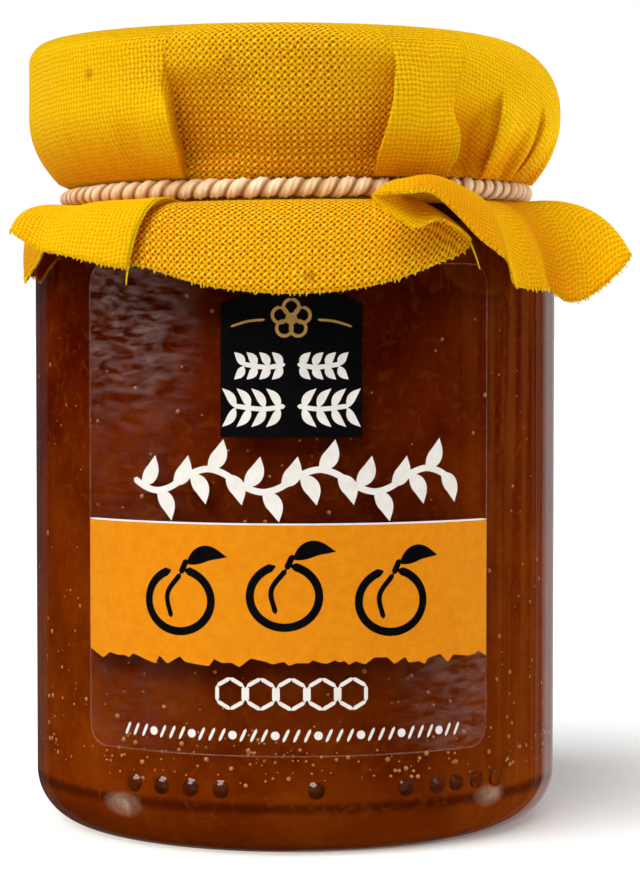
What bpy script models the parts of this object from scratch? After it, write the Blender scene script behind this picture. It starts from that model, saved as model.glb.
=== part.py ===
"""A full jam jar: a turned glass jar, the jam in it, a clear film label, and a
cotton cover gathered over the lid by a wrapped elastic cord.

Metres, +Z up. The origin is the middle of the flat base, and the label faces -Y.
A turn of 0 degrees is the front, and turns grow towards +X.
"""

import math
import random

import bpy
from mathutils import Vector

MM = 0.001

# Glass jar
BODY_RADIUS = 32.5 * MM
WALL = 2.4 * MM
HEEL_RADIUS = 6.5 * MM
FLOOR_THICKNESS = 5.2 * MM
FLOOR_CORNER = 5.0 * MM
SHOULDER_Z = 70.0 * MM
SHOULDER_RADIUS = 4.5 * MM
NECK_RADIUS = 26.0 * MM
NECK_FILLET = 1.2 * MM
RIM_Z = 93.0 * MM
JAR_SIDES = 56

# Clearance between pieces that touch
GAP = 0.3 * MM

# Edges sharper than this, in degrees, stay sharp when a piece is smooth
SHARP_ANGLE = 40

# Label
LABEL_HALF_TURN = 46.0
LABEL_BOTTOM = 11.5 * MM
LABEL_TOP = 69.0 * MM
LABEL_CORNER = 2.5 * MM
LABEL_THICKNESS = 0.3 * MM
LABEL_COLUMNS = 28
LABEL_CORNER_STEPS = 5

# Elastic cord round the cover
CORD_Z = 77.8 * MM
CORD_RING_RADIUS = 28.5 * MM
CORD_THICKNESS = 2.2 * MM
CORD_SIDES = 80
CORD_SECTION_SIDES = 8

# Cotton cover over the lid
CAP_TOP = 96.6 * MM
CAP_RADIUS = 33.1 * MM
CAP_TUCK = 3.6 * MM
CAP_TUCK_FROM = 88.0 * MM
CAP_TUCK_TO = 79.35 * MM
TIGHT_EDGE = 3.2 * MM
LOOSE_EDGE = 8.5 * MM
LOOSE_EDGE_TURN = 95.0
LOOSE_EDGE_SPREAD = 62.0
TUCK_CURVE = 2.2
GROOVE_CLEARANCE = 1.45 * MM
GROOVE_ARC = (105, 255)
CLOTH_THICKNESS = 0.9 * MM
SKIRT_START = (28.7 * MM, 76.3 * MM)
SKIRT_CROWN = 0.3 * MM
SKIRT_BULGE_SHARE = 0.7
SHOULDER_CLEARANCE = 35.2 * MM
BORE_DROP = 0.2 * MM

# How finely the cover is divided
COVER_COLUMNS = 112
TOP_RING_SHARES = (0.5, 0.88)
EDGE_STEPS = 3
SIDE_STEPS = 5
GROOVE_STEPS = 4
SKIRT_ROWS = 6

# Pleats on the cap's side: turn at the cord, turn at the top edge, height of the
# step, and the side that lies on top (-1 for lower turns, 1 for higher turns)
CAP_PLEATS = (
    (-26.5, -30.0, 2.0 * MM, -1),
    (18.5, 25.0, 2.0 * MM, 1),
    (35.0, 33.0, 1.4 * MM, -1),
    (49.0, 53.0, 1.3 * MM, 1),
    (64.0, 66.0, 1.0 * MM, 1),
)
BACK_PLEAT_STEP = 1.4 * MM
BACK_PLEAT_SHARE = 0.65
BACK_PLEAT_SLANT = 3.0
PLEAT_SPREAD = 9.0
PLEAT_SHARPNESS = 1.6
PLEAT_FADE_RATE = 1.12
PLEAT_FADE_CURVE = 0.6

# Folds of the skirt: turn at the cord, turn at the hem, reach and height of the hem
FRONT_FOLDS = (
    (-110, -108, 34.8 * MM, 68.0 * MM),
    (-96, -94, 34.2 * MM, 68.2 * MM),
    (-84, -80, 33.9 * MM, 68.4 * MM),
    (-73, -61, 34.8 * MM, 71.4 * MM),
    (-66, -56, 40.4 * MM, 73.0 * MM),
    (-48, -43, 39.2 * MM, 70.0 * MM),
    (-32, -30, 38.6 * MM, 67.4 * MM),
    (-27, -26, 37.0 * MM, 68.0 * MM),
    (-12, -15, 37.6 * MM, 66.3 * MM),
    (1, 1, 38.0 * MM, 65.5 * MM),
    (13, 16, 38.0 * MM, 66.8 * MM),
    (22, 28, 38.2 * MM, 69.8 * MM),
    (30, 35, 39.6 * MM, 70.6 * MM),
    (38, 39, 39.6 * MM, 69.0 * MM),
    (47, 50, 37.4 * MM, 66.0 * MM),
    (55, 60, 37.0 * MM, 64.7 * MM),
    (63, 66, 40.0 * MM, 66.2 * MM),
    (71, 69, 43.3 * MM, 70.2 * MM),
    (82, 84, 37.6 * MM, 70.4 * MM),
)

# The back is gathered in even flutes, each a crest with a valley after it
BACK_FLUTES = 5
BACK_FROM = 94.0
BACK_TO = 240.0
CREST = (40.6 * MM, 71.2 * MM)
VALLEY = (35.2 * MM, 67.8 * MM)
FLUTE_UNEVENNESS = 0.6 * MM

# The skirt's rolled fold, over the cord at the right of the front
CURL_TURN = 25.0
CURL_SPREAD = 11.0
CURL_REACH = 41.6 * MM
CURL_Z = 75.8 * MM
CURL_MIDDLE = 0.38
CURL_DEPTH = 0.28
CURL_DROP = 8.0 * MM


def clear_scene():
    for leftover in list(bpy.data.objects):
        bpy.data.objects.remove(leftover, do_unlink=True)


def finish(name, colour, roughness, alpha=1.0):
    """A Principled material with one colour."""
    material = bpy.data.materials.new(name)
    material.use_nodes = True
    shader = material.node_tree.nodes["Principled BSDF"]
    shader.inputs["Base Color"].default_value = (*colour, 1.0)
    shader.inputs["Roughness"].default_value = roughness
    shader.inputs["Metallic"].default_value = 0.0
    shader.inputs["Alpha"].default_value = alpha
    return material


def add_object(name, points, faces, material, edges=()):
    mesh = bpy.data.meshes.new(name)
    mesh.from_pydata([tuple(p) for p in points], list(edges), faces)
    mesh.materials.append(material)
    if faces:
        mesh.shade_smooth()
        mesh.set_sharp_from_angle(angle=math.radians(SHARP_ANGLE))
    part = bpy.data.objects.new(name, mesh)
    bpy.context.scene.collection.objects.link(part)
    return part


def around(turn, reach, height):
    """The point at a turn in degrees, a reach from the axis and a height."""
    angle = math.radians(turn)
    return Vector((reach * math.sin(angle), -reach * math.cos(angle), height))


def arc(centre, radius, start, end, steps):
    """Points (reach, height) along an arc, its angles counted up from +X."""
    angles = [math.radians(start + (end - start) * i / steps) for i in range(steps + 1)]
    return [(centre[0] + radius * math.cos(a), centre[1] + radius * math.sin(a)) for a in angles]


def turned(name, profile, material):
    """A profile in the XZ plane, from axis to axis, turned about Z."""
    points = [(reach, 0, height) for reach, height in profile]
    edges = [(i, i + 1) for i in range(len(points) - 1)]
    part = add_object(name, points, [], material, edges)
    screw = part.modifiers.new("Turn", "SCREW")
    screw.axis = "Z"
    screw.steps = JAR_SIDES
    screw.render_steps = JAR_SIDES
    screw.use_merge_vertices = True
    screw.merge_threshold = 0.00001
    screw.use_smooth_shade = True
    return part


def inner_outline(inset):
    """The inside of the glass from the floor's middle to the top of the neck, moved in by inset."""
    floor = FLOOR_THICKNESS + inset
    corner = FLOOR_CORNER - inset
    corner_centre = (BODY_RADIUS - WALL - FLOOR_CORNER, FLOOR_THICKNESS + FLOOR_CORNER)
    shoulder_centre = (BODY_RADIUS - SHOULDER_RADIUS, SHOULDER_Z)
    inner_shoulder = SHOULDER_RADIUS - WALL - inset
    fillet = NECK_FILLET + inset
    fillet_centre = (NECK_RADIUS - WALL + NECK_FILLET, SHOULDER_Z + SHOULDER_RADIUS - WALL + NECK_FILLET)
    outline = [(0.0, floor)]
    outline += arc(corner_centre, corner, -90, 0, 4)
    outline += arc(shoulder_centre, inner_shoulder, 0, 90, 2)
    outline += arc(fillet_centre, fillet, 270, 180, 2)
    return outline


def make_glass_jar():
    clear_glass = finish("clear_glass", (0.86, 0.89, 0.87), 0.03, 0.35)
    lip = WALL / 2
    fillet_centre = (NECK_RADIUS + NECK_FILLET, SHOULDER_Z + SHOULDER_RADIUS + NECK_FILLET)
    profile = inner_outline(0.0)
    profile += arc((NECK_RADIUS - lip, RIM_Z - lip), lip, 180, 0, 4)
    profile += arc(fillet_centre, NECK_FILLET, 180, 270, 2)
    profile += arc((BODY_RADIUS - SHOULDER_RADIUS, SHOULDER_Z), SHOULDER_RADIUS, 90, 0, 4)
    profile += arc((BODY_RADIUS - HEEL_RADIUS, HEEL_RADIUS), HEEL_RADIUS, 0, -90, 6)
    profile.append((0.0, 0.0))
    return turned("glass_jar", profile, clear_glass)


def make_jam():
    jelly = finish("apricot_jam", (0.30, 0.075, 0.012), 0.15)
    outline = inner_outline(GAP)
    top = RIM_Z - GAP
    outline += [(outline[-1][0], top), (0.0, top)]
    # The outline climbs the outer side, so it is turned from the top down instead
    return turned("jam", outline[::-1], jelly)


def make_label():
    """A rectangle with round corners, bent round the glass."""
    film = finish("clear_film", (0.55, 0.30, 0.16), 0.12, 0.5)
    inner = BODY_RADIUS + GAP
    half_width = math.radians(LABEL_HALF_TURN) * inner
    low = LABEL_BOTTOM + LABEL_CORNER
    high = LABEL_TOP - LABEL_CORNER
    corner = arc((LABEL_CORNER - half_width, 0.0), LABEL_CORNER, 180, 90, LABEL_CORNER_STEPS)
    reach = half_width - LABEL_CORNER
    middle = [-reach + 2 * reach * i / LABEL_COLUMNS for i in range(1, LABEL_COLUMNS)]
    stations = corner + [(across, LABEL_CORNER) for across in middle]
    stations += [(-across, rise) for across, rise in reversed(corner)]
    points = []
    for across, rise in stations:
        turn = math.degrees(across / inner)
        for radius in (inner, inner + LABEL_THICKNESS):
            points.append(around(turn, radius, low - rise))
            points.append(around(turn, radius, high + rise))
    faces = []
    for i in range(len(stations) - 1):
        a = 4 * i
        b = a + 4
        faces.append((a, a + 1, b + 1, b))
        faces.append((a + 2, b + 2, b + 3, a + 3))
        faces.append((a, b, b + 2, a + 2))
        faces.append((a + 1, a + 3, b + 3, b + 1))
    last = len(points) - 4
    faces.append((0, 2, 3, 1))
    faces.append((last, last + 1, last + 3, last + 2))
    return add_object("label_film", points, faces, film)


def make_tie_band():
    cotton = finish("wrapped_elastic", (0.80, 0.66, 0.52), 0.85)
    points = []
    faces = []
    for i in range(CORD_SIDES):
        for k in range(CORD_SECTION_SIDES):
            angle = 2 * math.pi * k / CORD_SECTION_SIDES
            reach = CORD_RING_RADIUS + CORD_THICKNESS / 2 * math.cos(angle)
            height = CORD_Z + CORD_THICKNESS / 2 * math.sin(angle)
            points.append(around(360 * i / CORD_SIDES, reach, height))
            ring = i * CORD_SECTION_SIDES
            after = (i + 1) % CORD_SIDES * CORD_SECTION_SIDES
            step = (k + 1) % CORD_SECTION_SIDES
            faces.append((ring + k, after + k, after + step, ring + step))
    return add_object("tie_band", points, faces, cotton)


def skirt_folds():
    """The front's folds, then the back's even flutes, in order of their turns."""
    draw = random.Random(7)
    folds = list(FRONT_FOLDS)
    pitch = (BACK_TO - BACK_FROM) / (2 * BACK_FLUTES)
    for i in range(2 * BACK_FLUTES):
        turn = BACK_FROM + pitch * (i + 0.5)
        reach, height = VALLEY if i % 2 == 0 else CREST
        reach += draw.uniform(-1, 1) * FLUTE_UNEVENNESS
        height += draw.uniform(-1, 1) * FLUTE_UNEVENNESS
        folds.append((turn, turn + draw.uniform(-1.5, 1.5), reach, height))
    return folds


def hem_at(turn, folds):
    """Lean, reach and height of the hem below a turn at the cord, by a smooth curve through the folds."""
    first = folds[0][0]
    turn = first + (turn - first) % 360
    count = len(folds)
    after = next((i for i in range(count) if folds[i][0] > turn), count)

    def fold(index):
        laps = index // count
        cord, hem, reach, height = folds[index % count]
        return cord + 360 * laps, hem + 360 * laps, reach, height

    before, here, there, beyond = (fold(after + step) for step in (-2, -1, 0, 1))
    span = there[0] - here[0]
    t = (turn - here[0]) / span
    hem = []
    for value in (1, 2, 3):
        slope_here = (there[value] - before[value]) / (there[0] - before[0]) * span
        slope_there = (beyond[value] - here[value]) / (beyond[0] - here[0]) * span
        hem.append(
            here[value] * (2 * t**3 - 3 * t**2 + 1)
            + slope_here * (t**3 - 2 * t**2 + t)
            + there[value] * (3 * t**2 - 2 * t**3)
            + slope_there * (t**3 - t**2)
        )
    return hem[0] - turn, hem[1], hem[2]


def turn_between(turn, middle):
    """How far a turn is past another, from -180 to 180 degrees."""
    return (turn - middle + 180) % 360 - 180


def edge_size(turn):
    """The cap's top edge is tight over the lid, and loose where the pleats bunch up."""
    away = turn_between(turn, LOOSE_EDGE_TURN) / LOOSE_EDGE_SPREAD
    return TIGHT_EDGE + (LOOSE_EDGE - TIGHT_EDGE) * math.exp(-away * away)


def cap_pleats():
    """The front's pleats, then one above each of the back's crests."""
    pleats = list(CAP_PLEATS)
    pitch = (BACK_TO - BACK_FROM) / BACK_FLUTES
    for i in range(BACK_FLUTES):
        turn = BACK_FROM + pitch * (i + BACK_PLEAT_SHARE)
        side = 1 if i % 2 == 0 else -1
        pleats.append((turn, turn + BACK_PLEAT_SLANT * side, BACK_PLEAT_STEP, side))
    return pleats


def pleat_relief(turn, height):
    """How far the pleats push the cap's side out or in at a height."""
    down = min(1.0, max(0.0, (CAP_TOP - height) / (CAP_TOP - CAP_TUCK_TO)))
    fade = math.sin(math.pi * min(1.0, down * PLEAT_FADE_RATE) ** PLEAT_FADE_CURVE)
    relief = 0.0
    for at_cord, at_edge, step, side in cap_pleats():
        past = turn_between(turn, at_edge + (at_cord - at_edge) * down) * side
        shape = math.tanh(past / PLEAT_SHARPNESS) * math.exp(-abs(past) / PLEAT_SPREAD)
        relief += step / 2 * shape * fade
    return relief


def cap_side(turn):
    """(reach, height) down the cap, from its flat top to just above the cord."""
    edge = edge_size(turn)
    side = arc((CAP_RADIUS - edge, CAP_TOP - edge), edge, 90, 0, EDGE_STEPS)
    low = side[-1][1]
    for i in range(1, SIDE_STEPS + 1):
        height = low + (CAP_TUCK_TO - low) * i / SIDE_STEPS
        tucked = max(0.0, CAP_TUCK_FROM - height) / (CAP_TUCK_FROM - CAP_TUCK_TO)
        side.append((CAP_RADIUS - CAP_TUCK * tucked**TUCK_CURVE, height))
    return [(reach + pleat_relief(turn, height), height) for reach, height in side]


def skirt_point(turn, folds, share):
    """The cover below the cord, a share of the way down to its hem."""
    lean, hem_reach, hem_height = hem_at(turn, folds)
    start_reach, start_height = SKIRT_START
    bulge_reach = start_reach + SKIRT_BULGE_SHARE * (hem_reach - start_reach)
    bulge_reach = max(SHOULDER_CLEARANCE, bulge_reach)
    bulge_height = start_height + SKIRT_CROWN
    first = (1 - share) ** 2
    middle = 2 * share * (1 - share)
    last = share**2
    reach = first * start_reach + middle * bulge_reach + last * hem_reach
    height = first * start_height + middle * bulge_height + last * hem_height
    return around(turn + lean * share, reach, height)


def curl_lift(point, turn, share):
    """Moves the skirt's outer side out to the rolled fold."""
    away = turn_between(turn, CURL_TURN) / CURL_SPREAD
    strength = math.exp(-(away**4)) * math.exp(-(((share - CURL_MIDDLE) / CURL_DEPTH) ** 4))
    reach = math.hypot(point.x, point.y)
    angle = math.degrees(math.atan2(point.x, -point.y))
    roll_z = CURL_Z + CURL_DROP * (CURL_MIDDLE - share)
    new_reach = reach + (CURL_REACH - reach) * strength
    new_height = point.z + (roll_z - point.z) * strength
    return around(angle, new_reach, new_height)


def grid_normals(rows):
    """The way out at each point of a grid whose rows close on themselves."""
    columns = len(rows[0])
    normals = []
    for r, row in enumerate(rows):
        above = rows[max(0, r - 1)]
        below = rows[min(len(rows) - 1, r + 1)]
        normals.append(
            [
                (below[c] - above[c]).cross(row[(c + 1) % columns] - row[c - 1]).normalized()
                for c in range(columns)
            ]
        )
    return normals


def make_cloth_cover():
    """Rings from the top's middle, down the outside to the hem, and up inside to the roof."""
    cotton = finish("golden_cotton", (0.85, 0.53, 0.02), 0.9)
    folds = skirt_folds()
    turns = [360 * c / COVER_COLUMNS for c in range(COVER_COLUMNS)]
    outside = []
    for share in TOP_RING_SHARES:
        outside.append([around(t, share * (CAP_RADIUS - edge_size(t)), CAP_TOP) for t in turns])
    sides = [cap_side(t) for t in turns]
    for row in zip(*sides):
        outside.append([around(t, reach, height) for t, (reach, height) in zip(turns, row)])
    for reach, height in arc((CORD_RING_RADIUS, CORD_Z), GROOVE_CLEARANCE, *GROOVE_ARC, GROOVE_STEPS):
        outside.append([around(t, reach, height) for t in turns])
    shares = [i / SKIRT_ROWS for i in range(SKIRT_ROWS + 1)]
    skirt = [[skirt_point(t, folds, share) for t in turns] for share in shares]
    inside = [
        [p - n * CLOTH_THICKNESS for p, n in zip(row, normals)]
        for row, normals in zip(skirt, grid_normals(skirt))
    ]
    for share, row in zip(shares, skirt):
        outside.append([curl_lift(p, t, share) for t, p in zip(turns, row)])
    bore = NECK_RADIUS + GAP
    roof = RIM_Z + GAP
    rings = outside + inside[:0:-1]
    rings.append([around(t, bore, SKIRT_START[1] - BORE_DROP) for t in turns])
    rings.append([around(t, bore, roof) for t in turns])
    points = [Vector((0, 0, CAP_TOP))] + [p for ring in rings for p in ring] + [Vector((0, 0, roof))]
    faces = []
    last = len(points) - 1
    for c in range(COVER_COLUMNS):
        beside = (c + 1) % COVER_COLUMNS
        faces.append((0, 1 + c, 1 + beside))
        for r in range(len(rings) - 1):
            here = 1 + r * COVER_COLUMNS
            below = here + COVER_COLUMNS
            faces.append((here + c, below + c, below + beside, here + beside))
        end = 1 + (len(rings) - 1) * COVER_COLUMNS
        faces.append((last, end + beside, end + c))
    return add_object("cloth_cover", points, faces, cotton)


def main():
    clear_scene()
    jar = make_glass_jar()
    for piece in (make_jam(), make_label(), make_tie_band(), make_cloth_cover()):
        piece.parent = jar


main()
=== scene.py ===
# %% [markdown]
# A jam jar with a gathered cotton cover. The real thing is a straight-sided glass
# jar filled to the lid, a clear film label stuck on its front, and a disc of
# loosely woven cotton pulled over the lid and held by an elastic cord. The packed
# model already fixes every size and place, so it is loaded first and kept as the
# frame that each piece of this lesson is built around.

import math
import random

import bmesh
import bpy
import numpy as np
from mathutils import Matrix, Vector


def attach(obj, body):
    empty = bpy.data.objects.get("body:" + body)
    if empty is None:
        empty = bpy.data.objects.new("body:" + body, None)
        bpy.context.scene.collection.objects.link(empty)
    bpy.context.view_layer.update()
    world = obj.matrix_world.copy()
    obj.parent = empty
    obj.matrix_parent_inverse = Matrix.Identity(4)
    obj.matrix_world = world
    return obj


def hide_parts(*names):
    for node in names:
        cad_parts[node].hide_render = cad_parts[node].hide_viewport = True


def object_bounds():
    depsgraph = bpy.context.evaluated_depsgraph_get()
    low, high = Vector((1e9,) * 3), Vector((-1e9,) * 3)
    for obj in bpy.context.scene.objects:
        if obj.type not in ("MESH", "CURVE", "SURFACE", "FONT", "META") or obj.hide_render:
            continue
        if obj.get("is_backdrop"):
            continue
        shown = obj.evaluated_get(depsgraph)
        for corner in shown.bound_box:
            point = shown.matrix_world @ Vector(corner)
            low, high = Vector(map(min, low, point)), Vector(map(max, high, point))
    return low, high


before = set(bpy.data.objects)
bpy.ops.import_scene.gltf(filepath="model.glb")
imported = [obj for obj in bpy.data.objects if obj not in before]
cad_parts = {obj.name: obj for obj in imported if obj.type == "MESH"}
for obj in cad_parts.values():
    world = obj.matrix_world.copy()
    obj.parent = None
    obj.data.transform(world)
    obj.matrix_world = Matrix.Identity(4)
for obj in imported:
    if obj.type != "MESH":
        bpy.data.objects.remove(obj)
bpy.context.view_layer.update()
MM = 0.001
print("packed nodes:", ", ".join(sorted(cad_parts)))

# %% [markdown]
# The camera comes early. A long lens, a third of a metre away and a little above the
# middle of the jar, gives the shallow curves that a label and a cord show from there.
# The lens could be guessed, but its focal length is worked out from the focal length
# in pixels and the picture's long side instead.

# %% Place the camera
PICTURE_LONG_SIDE = 870
FOCAL_PIXELS = 2837
SENSOR = 36.0
CAMERA_DISTANCE = 357.5 * MM
CAMERA_HEIGHT = 62.9 * MM
CAMERA_PITCH = 2.4
CAMERA_YAW = 0.5

lens_data = bpy.data.cameras.new("studio_camera")
lens_data.sensor_width = SENSOR
lens_data.lens = FOCAL_PIXELS * SENSOR / PICTURE_LONG_SIDE
lens_data.clip_start = 0.01
camera = bpy.data.objects.new("studio_camera", lens_data)
bpy.context.scene.collection.objects.link(camera)
camera.location = (0, -CAMERA_DISTANCE, CAMERA_HEIGHT)
camera.rotation_euler = (math.radians(90 - CAMERA_PITCH), 0, math.radians(-CAMERA_YAW))
bpy.context.scene.camera = camera
print(f"lens {lens_data.lens:.1f} mm")

# %% [markdown]
# A few small helpers serve every material. One turns an sRGB hex colour into the
# linear values that a shader works with, one starts a material, one fills in a node's
# inputs, and one adds a node with its settings and links. With these a material
# reads as a short list. The last makes a soft spot from two nodes.

# %% Material helpers
# A Mix node for colours keeps its two colours and its result at these places
MIX_A, MIX_B, MIX_RESULT = 6, 7, 2
RGBA = {"data_type": "RGBA"}
MULTIPLY = {"operation": "MULTIPLY"}
SPOT_CORE = 0.3


def linear(hex_colour):
    """An sRGB hex colour as linear red, green, blue and alpha."""
    values = [int(hex_colour[i : i + 2], 16) / 255 for i in (1, 3, 5)]
    return tuple(v / 12.92 if v <= 0.04045 else ((v + 0.055) / 1.055) ** 2.4 for v in values) + (1.0,)


def start_material(name):
    """A new material with its node tree and its Principled shader."""
    material = bpy.data.materials.new(name)
    material.use_nodes = True
    return material, material.node_tree, material.node_tree.nodes["Principled BSDF"]


def set_inputs(node, inputs):
    """Sets a node's inputs. One that is given a node or a socket is linked to it."""
    for name, value in inputs.items():
        if isinstance(value, bpy.types.Node):
            mixes_colours = getattr(value, "data_type", "") == "RGBA"
            value = value.outputs[MIX_RESULT if mixes_colours else 0]
        if isinstance(value, bpy.types.NodeSocket):
            node.id_data.links.new(value, node.inputs[name])
        else:
            node.inputs[name].default_value = value


def add_node(tree, kind, settings, inputs):
    """A node with its settings and its inputs."""
    node = tree.nodes.new("ShaderNode" + kind)
    for name, value in settings.items():
        setattr(node, name, value)
    set_inputs(node, inputs)
    return node


def add_spot(tree, place, centre, radius, strength):
    """A soft round spot about a point, for a stain or a glint."""
    away = add_node(tree, "VectorMath", {"operation": "DISTANCE"}, {0: place, 1: centre})
    return add_node(tree, "MapRange", {}, {
        "Value": away.outputs["Value"],
        "From Min": radius, "From Max": SPOT_CORE * radius, "To Max": strength,
    })


# %% [markdown]
# Nearly every piece of a jar is a grid of points bent round its axis, so the helpers
# for meshes think in turns: one gives the point at a turn, a reach and a height, and
# another joins rows of points with quads. Zero degrees is the front, and turns grow
# to the right.

# %% Mesh helpers
def around(turn, reach, height):
    """Points at turns in degrees, as an array whose last axis is x, y and z."""
    turn, reach, height = np.broadcast_arrays(np.radians(turn), reach, height)
    return np.stack([reach * np.sin(turn), -reach * np.cos(turn), height], axis=-1)


def turn_between(turn, middle):
    """How far a turn is past another, from -180 to 180 degrees."""
    return (turn - middle + 180) % 360 - 180


def arc(centre, radius, start, end, steps):
    """(reach, height) pairs along an arc, its angles counted up from the right."""
    angles = np.radians(np.linspace(start, end, steps + 1))
    return [(centre[0] + radius * math.cos(a), centre[1] + radius * math.sin(a)) for a in angles]


def add_piece(name, points, faces, *materials):
    """A smooth mesh with its materials, in the scene."""
    mesh = bpy.data.meshes.new(name)
    mesh.from_pydata(points, [], faces)
    for material in materials:
        mesh.materials.append(material)
    mesh.shade_smooth()
    piece = bpy.data.objects.new(name, mesh)
    bpy.context.scene.collection.objects.link(piece)
    return piece


def grid_piece(name, grid, material, wraps=True):
    """A smooth mesh from rows of points. With wraps, each row closes on itself."""
    rows, columns = grid.shape[:2]
    index = np.arange(rows * columns).reshape(rows, columns)
    beside = np.roll(index, -1, axis=1)
    used = columns if wraps else columns - 1
    corners = (index[:-1], index[1:], beside[1:], beside[:-1])
    quads = np.stack([corner[:, :used] for corner in corners], axis=-1).reshape(-1, 4)
    return add_piece(name, grid.reshape(-1, 3).tolist(), quads.tolist(), material)


def give_map(piece, name, values):
    """Stores two values a point as a map that a material can read."""
    corners = np.zeros(len(piece.data.loops), np.int32)
    piece.data.loops.foreach_get("vertex_index", corners)
    layer = piece.data.uv_layers.new(name=name)
    layer.data.foreach_set("uv", values[corners].astype(np.float32).ravel())


def merge_poles(piece):
    """Joins the points that lie on the axis into one."""
    work = bmesh.new()
    work.from_mesh(piece.data)
    bmesh.ops.remove_doubles(work, verts=work.verts, dist=1e-7)
    work.to_mesh(piece.data)
    work.free()


# %% [markdown]
# Container glass is soda-lime glass, pressed and blown in a mould: clear with the
# faintest green, very smooth, and slightly wavy because the mould is. Its index of
# refraction is 1.52. Light that only passes on its way to the jam is let through
# unbent, because tracing each bent path would leave the jam dark and grainy.

# %% Soda-lime glass
GLASS_IOR = 1.52
MOULD_WAVE = 14 * MM

soda_lime_glass, tree, shader = start_material("soda_lime_glass")
set_inputs(shader, {
    "Base Color": linear("#fafcf9"), "Transmission Weight": 1.0, "Roughness": 0.015, "IOR": GLASS_IOR,
})
place = add_node(tree, "TexCoord", {}, {}).outputs["Object"]
squash = add_node(tree, "Mapping", {}, {"Vector": place, "Scale": (1, 1, 0.25)})
waves = add_node(tree, "TexNoise", {}, {"Vector": squash, "Scale": 1 / MOULD_WAVE, "Detail": 1.0})
bump = add_node(tree, "Bump", {}, {"Height": waves, "Strength": 0.12, "Distance": 0.4 * MM})
set_inputs(shader, {"Normal": bump})
path = add_node(tree, "LightPath", {}, {})
clear = add_node(tree, "BsdfTransparent", {}, {"Color": linear("#f4f6f2")})
both = add_node(tree, "MixShader", {}, {0: path.outputs["Is Shadow Ray"], 1: shader, 2: clear})
set_inputs(tree.nodes["Material Output"], {"Surface": both})
print("glass bends light by", GLASS_IOR)

# %% [markdown]
# The jar is one turned profile: up the inside, over the lip, down the outside with
# its short neck and rounded shoulder, and round the heel to the base. The base is
# pushed up a little in its middle, as every glass base is, so the jar stands on a
# ring. Where the wall will carry its dots, the section has closer points.

# %% The section of the glass
BODY_RADIUS = 32.5 * MM
WALL = 2.4 * MM
HEEL_RADIUS = 6.5 * MM
FLOOR_THICKNESS = 5.2 * MM
FLOOR_CORNER = 5.0 * MM
SHOULDER_Z = 70.0 * MM
SHOULDER_RADIUS = 4.5 * MM
NECK_RADIUS = 26.0 * MM
NECK_FILLET = 1.2 * MM
RIM_Z = 93.0 * MM
GLASS_COLUMNS = 720

PUSH_UP = 2.6 * MM
PUSH_UP_RADIUS = 25.0 * MM

DOT_Z = 8.2 * MM
DOT_RADIUS = 1.05 * MM


def inner_outline(inset):
    """The inside of the glass, from the floor's middle to the neck, moved in by inset."""
    corner = (BODY_RADIUS - WALL - FLOOR_CORNER, FLOOR_THICKNESS + FLOOR_CORNER)
    shoulder = (BODY_RADIUS - SHOULDER_RADIUS, SHOULDER_Z)
    fillet = (NECK_RADIUS - WALL + NECK_FILLET, SHOULDER_Z + SHOULDER_RADIUS - WALL + NECK_FILLET)
    outline = [(0.0, FLOOR_THICKNESS + inset)]
    outline += arc(corner, FLOOR_CORNER - inset, -90, 0, 10)
    outline += arc(shoulder, SHOULDER_RADIUS - WALL - inset, 0, 90, 8)
    outline += arc(fillet, NECK_FILLET + inset, 270, 180, 6)
    return outline


def glass_outline():
    """The whole section of the glass, from the floor's middle to the base's middle."""
    lip = WALL / 2
    fillet = (NECK_RADIUS + NECK_FILLET, SHOULDER_Z + SHOULDER_RADIUS + NECK_FILLET)
    outline = inner_outline(0.0)
    outline += arc((NECK_RADIUS - lip, RIM_Z - lip), lip, 180, 0, 8)
    outline += arc(fillet, NECK_FILLET, 180, 270, 6)
    outline += arc((BODY_RADIUS - SHOULDER_RADIUS, SHOULDER_Z), SHOULDER_RADIUS, 90, 0, 10)
    dots = np.linspace(DOT_Z + 1.2 * DOT_RADIUS, DOT_Z - 1.2 * DOT_RADIUS, 14)
    outline += [(BODY_RADIUS, height) for height in dots]
    outline += arc((BODY_RADIUS - HEEL_RADIUS, HEEL_RADIUS), HEEL_RADIUS, 0, -90, 22)
    for share in np.linspace(1, 0, 9):
        outline.append((PUSH_UP_RADIUS * share, PUSH_UP * (1 - share**2)))
    return outline


outline = np.array(glass_outline())
print("points in the section:", len(outline))

# %% [markdown]
# Moulded jars carry a row of small round dots on the heel that say which mould made
# them. They could be bump in the shader, but they catch the light like little
# lenses, so they are real domes that push the wall's points out.

# %% Glass jar with its dots
DOT_RISE = 0.6 * MM
DOT_TURNS = (-35.5, -28.7, -22.0, -15.4, 4.3, 23.2, 30.6, 35.5, 41.0, 47.0)

turns = np.linspace(0, 360, GLASS_COLUMNS, endpoint=False)
reach = np.repeat(outline[:, :1], GLASS_COLUMNS, axis=1)
height = np.repeat(outline[:, 1:], GLASS_COLUMNS, axis=1)
on_wall = reach > BODY_RADIUS - 0.1 * MM
for dot_turn in DOT_TURNS:
    across = np.radians(turn_between(turns, dot_turn)) * BODY_RADIUS
    away = np.hypot(across, height - DOT_Z) / DOT_RADIUS
    dome = np.sqrt(1 - np.minimum(away, 1) ** 2)
    reach = reach + DOT_RISE * dome * on_wall
glass = grid_piece("glass_shell", around(turns, reach, height), soda_lime_glass)
merge_poles(glass)
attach(glass, "root")
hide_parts("glass_jar")
print("glass points:", len(glass.data.vertices), "dots on the heel:", len(DOT_TURNS))

# %% [markdown]
# Apricot jam is a dark amber jelly with pulp in it. Light sinks a few millimetres
# into it and comes back warmer, so it gets subsurface scattering with red reaching
# furthest. The pulp shows as soft clouds a few millimetres across. A real volume
# would do the same more slowly and with grain, so the clouds go into the colour.

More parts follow.
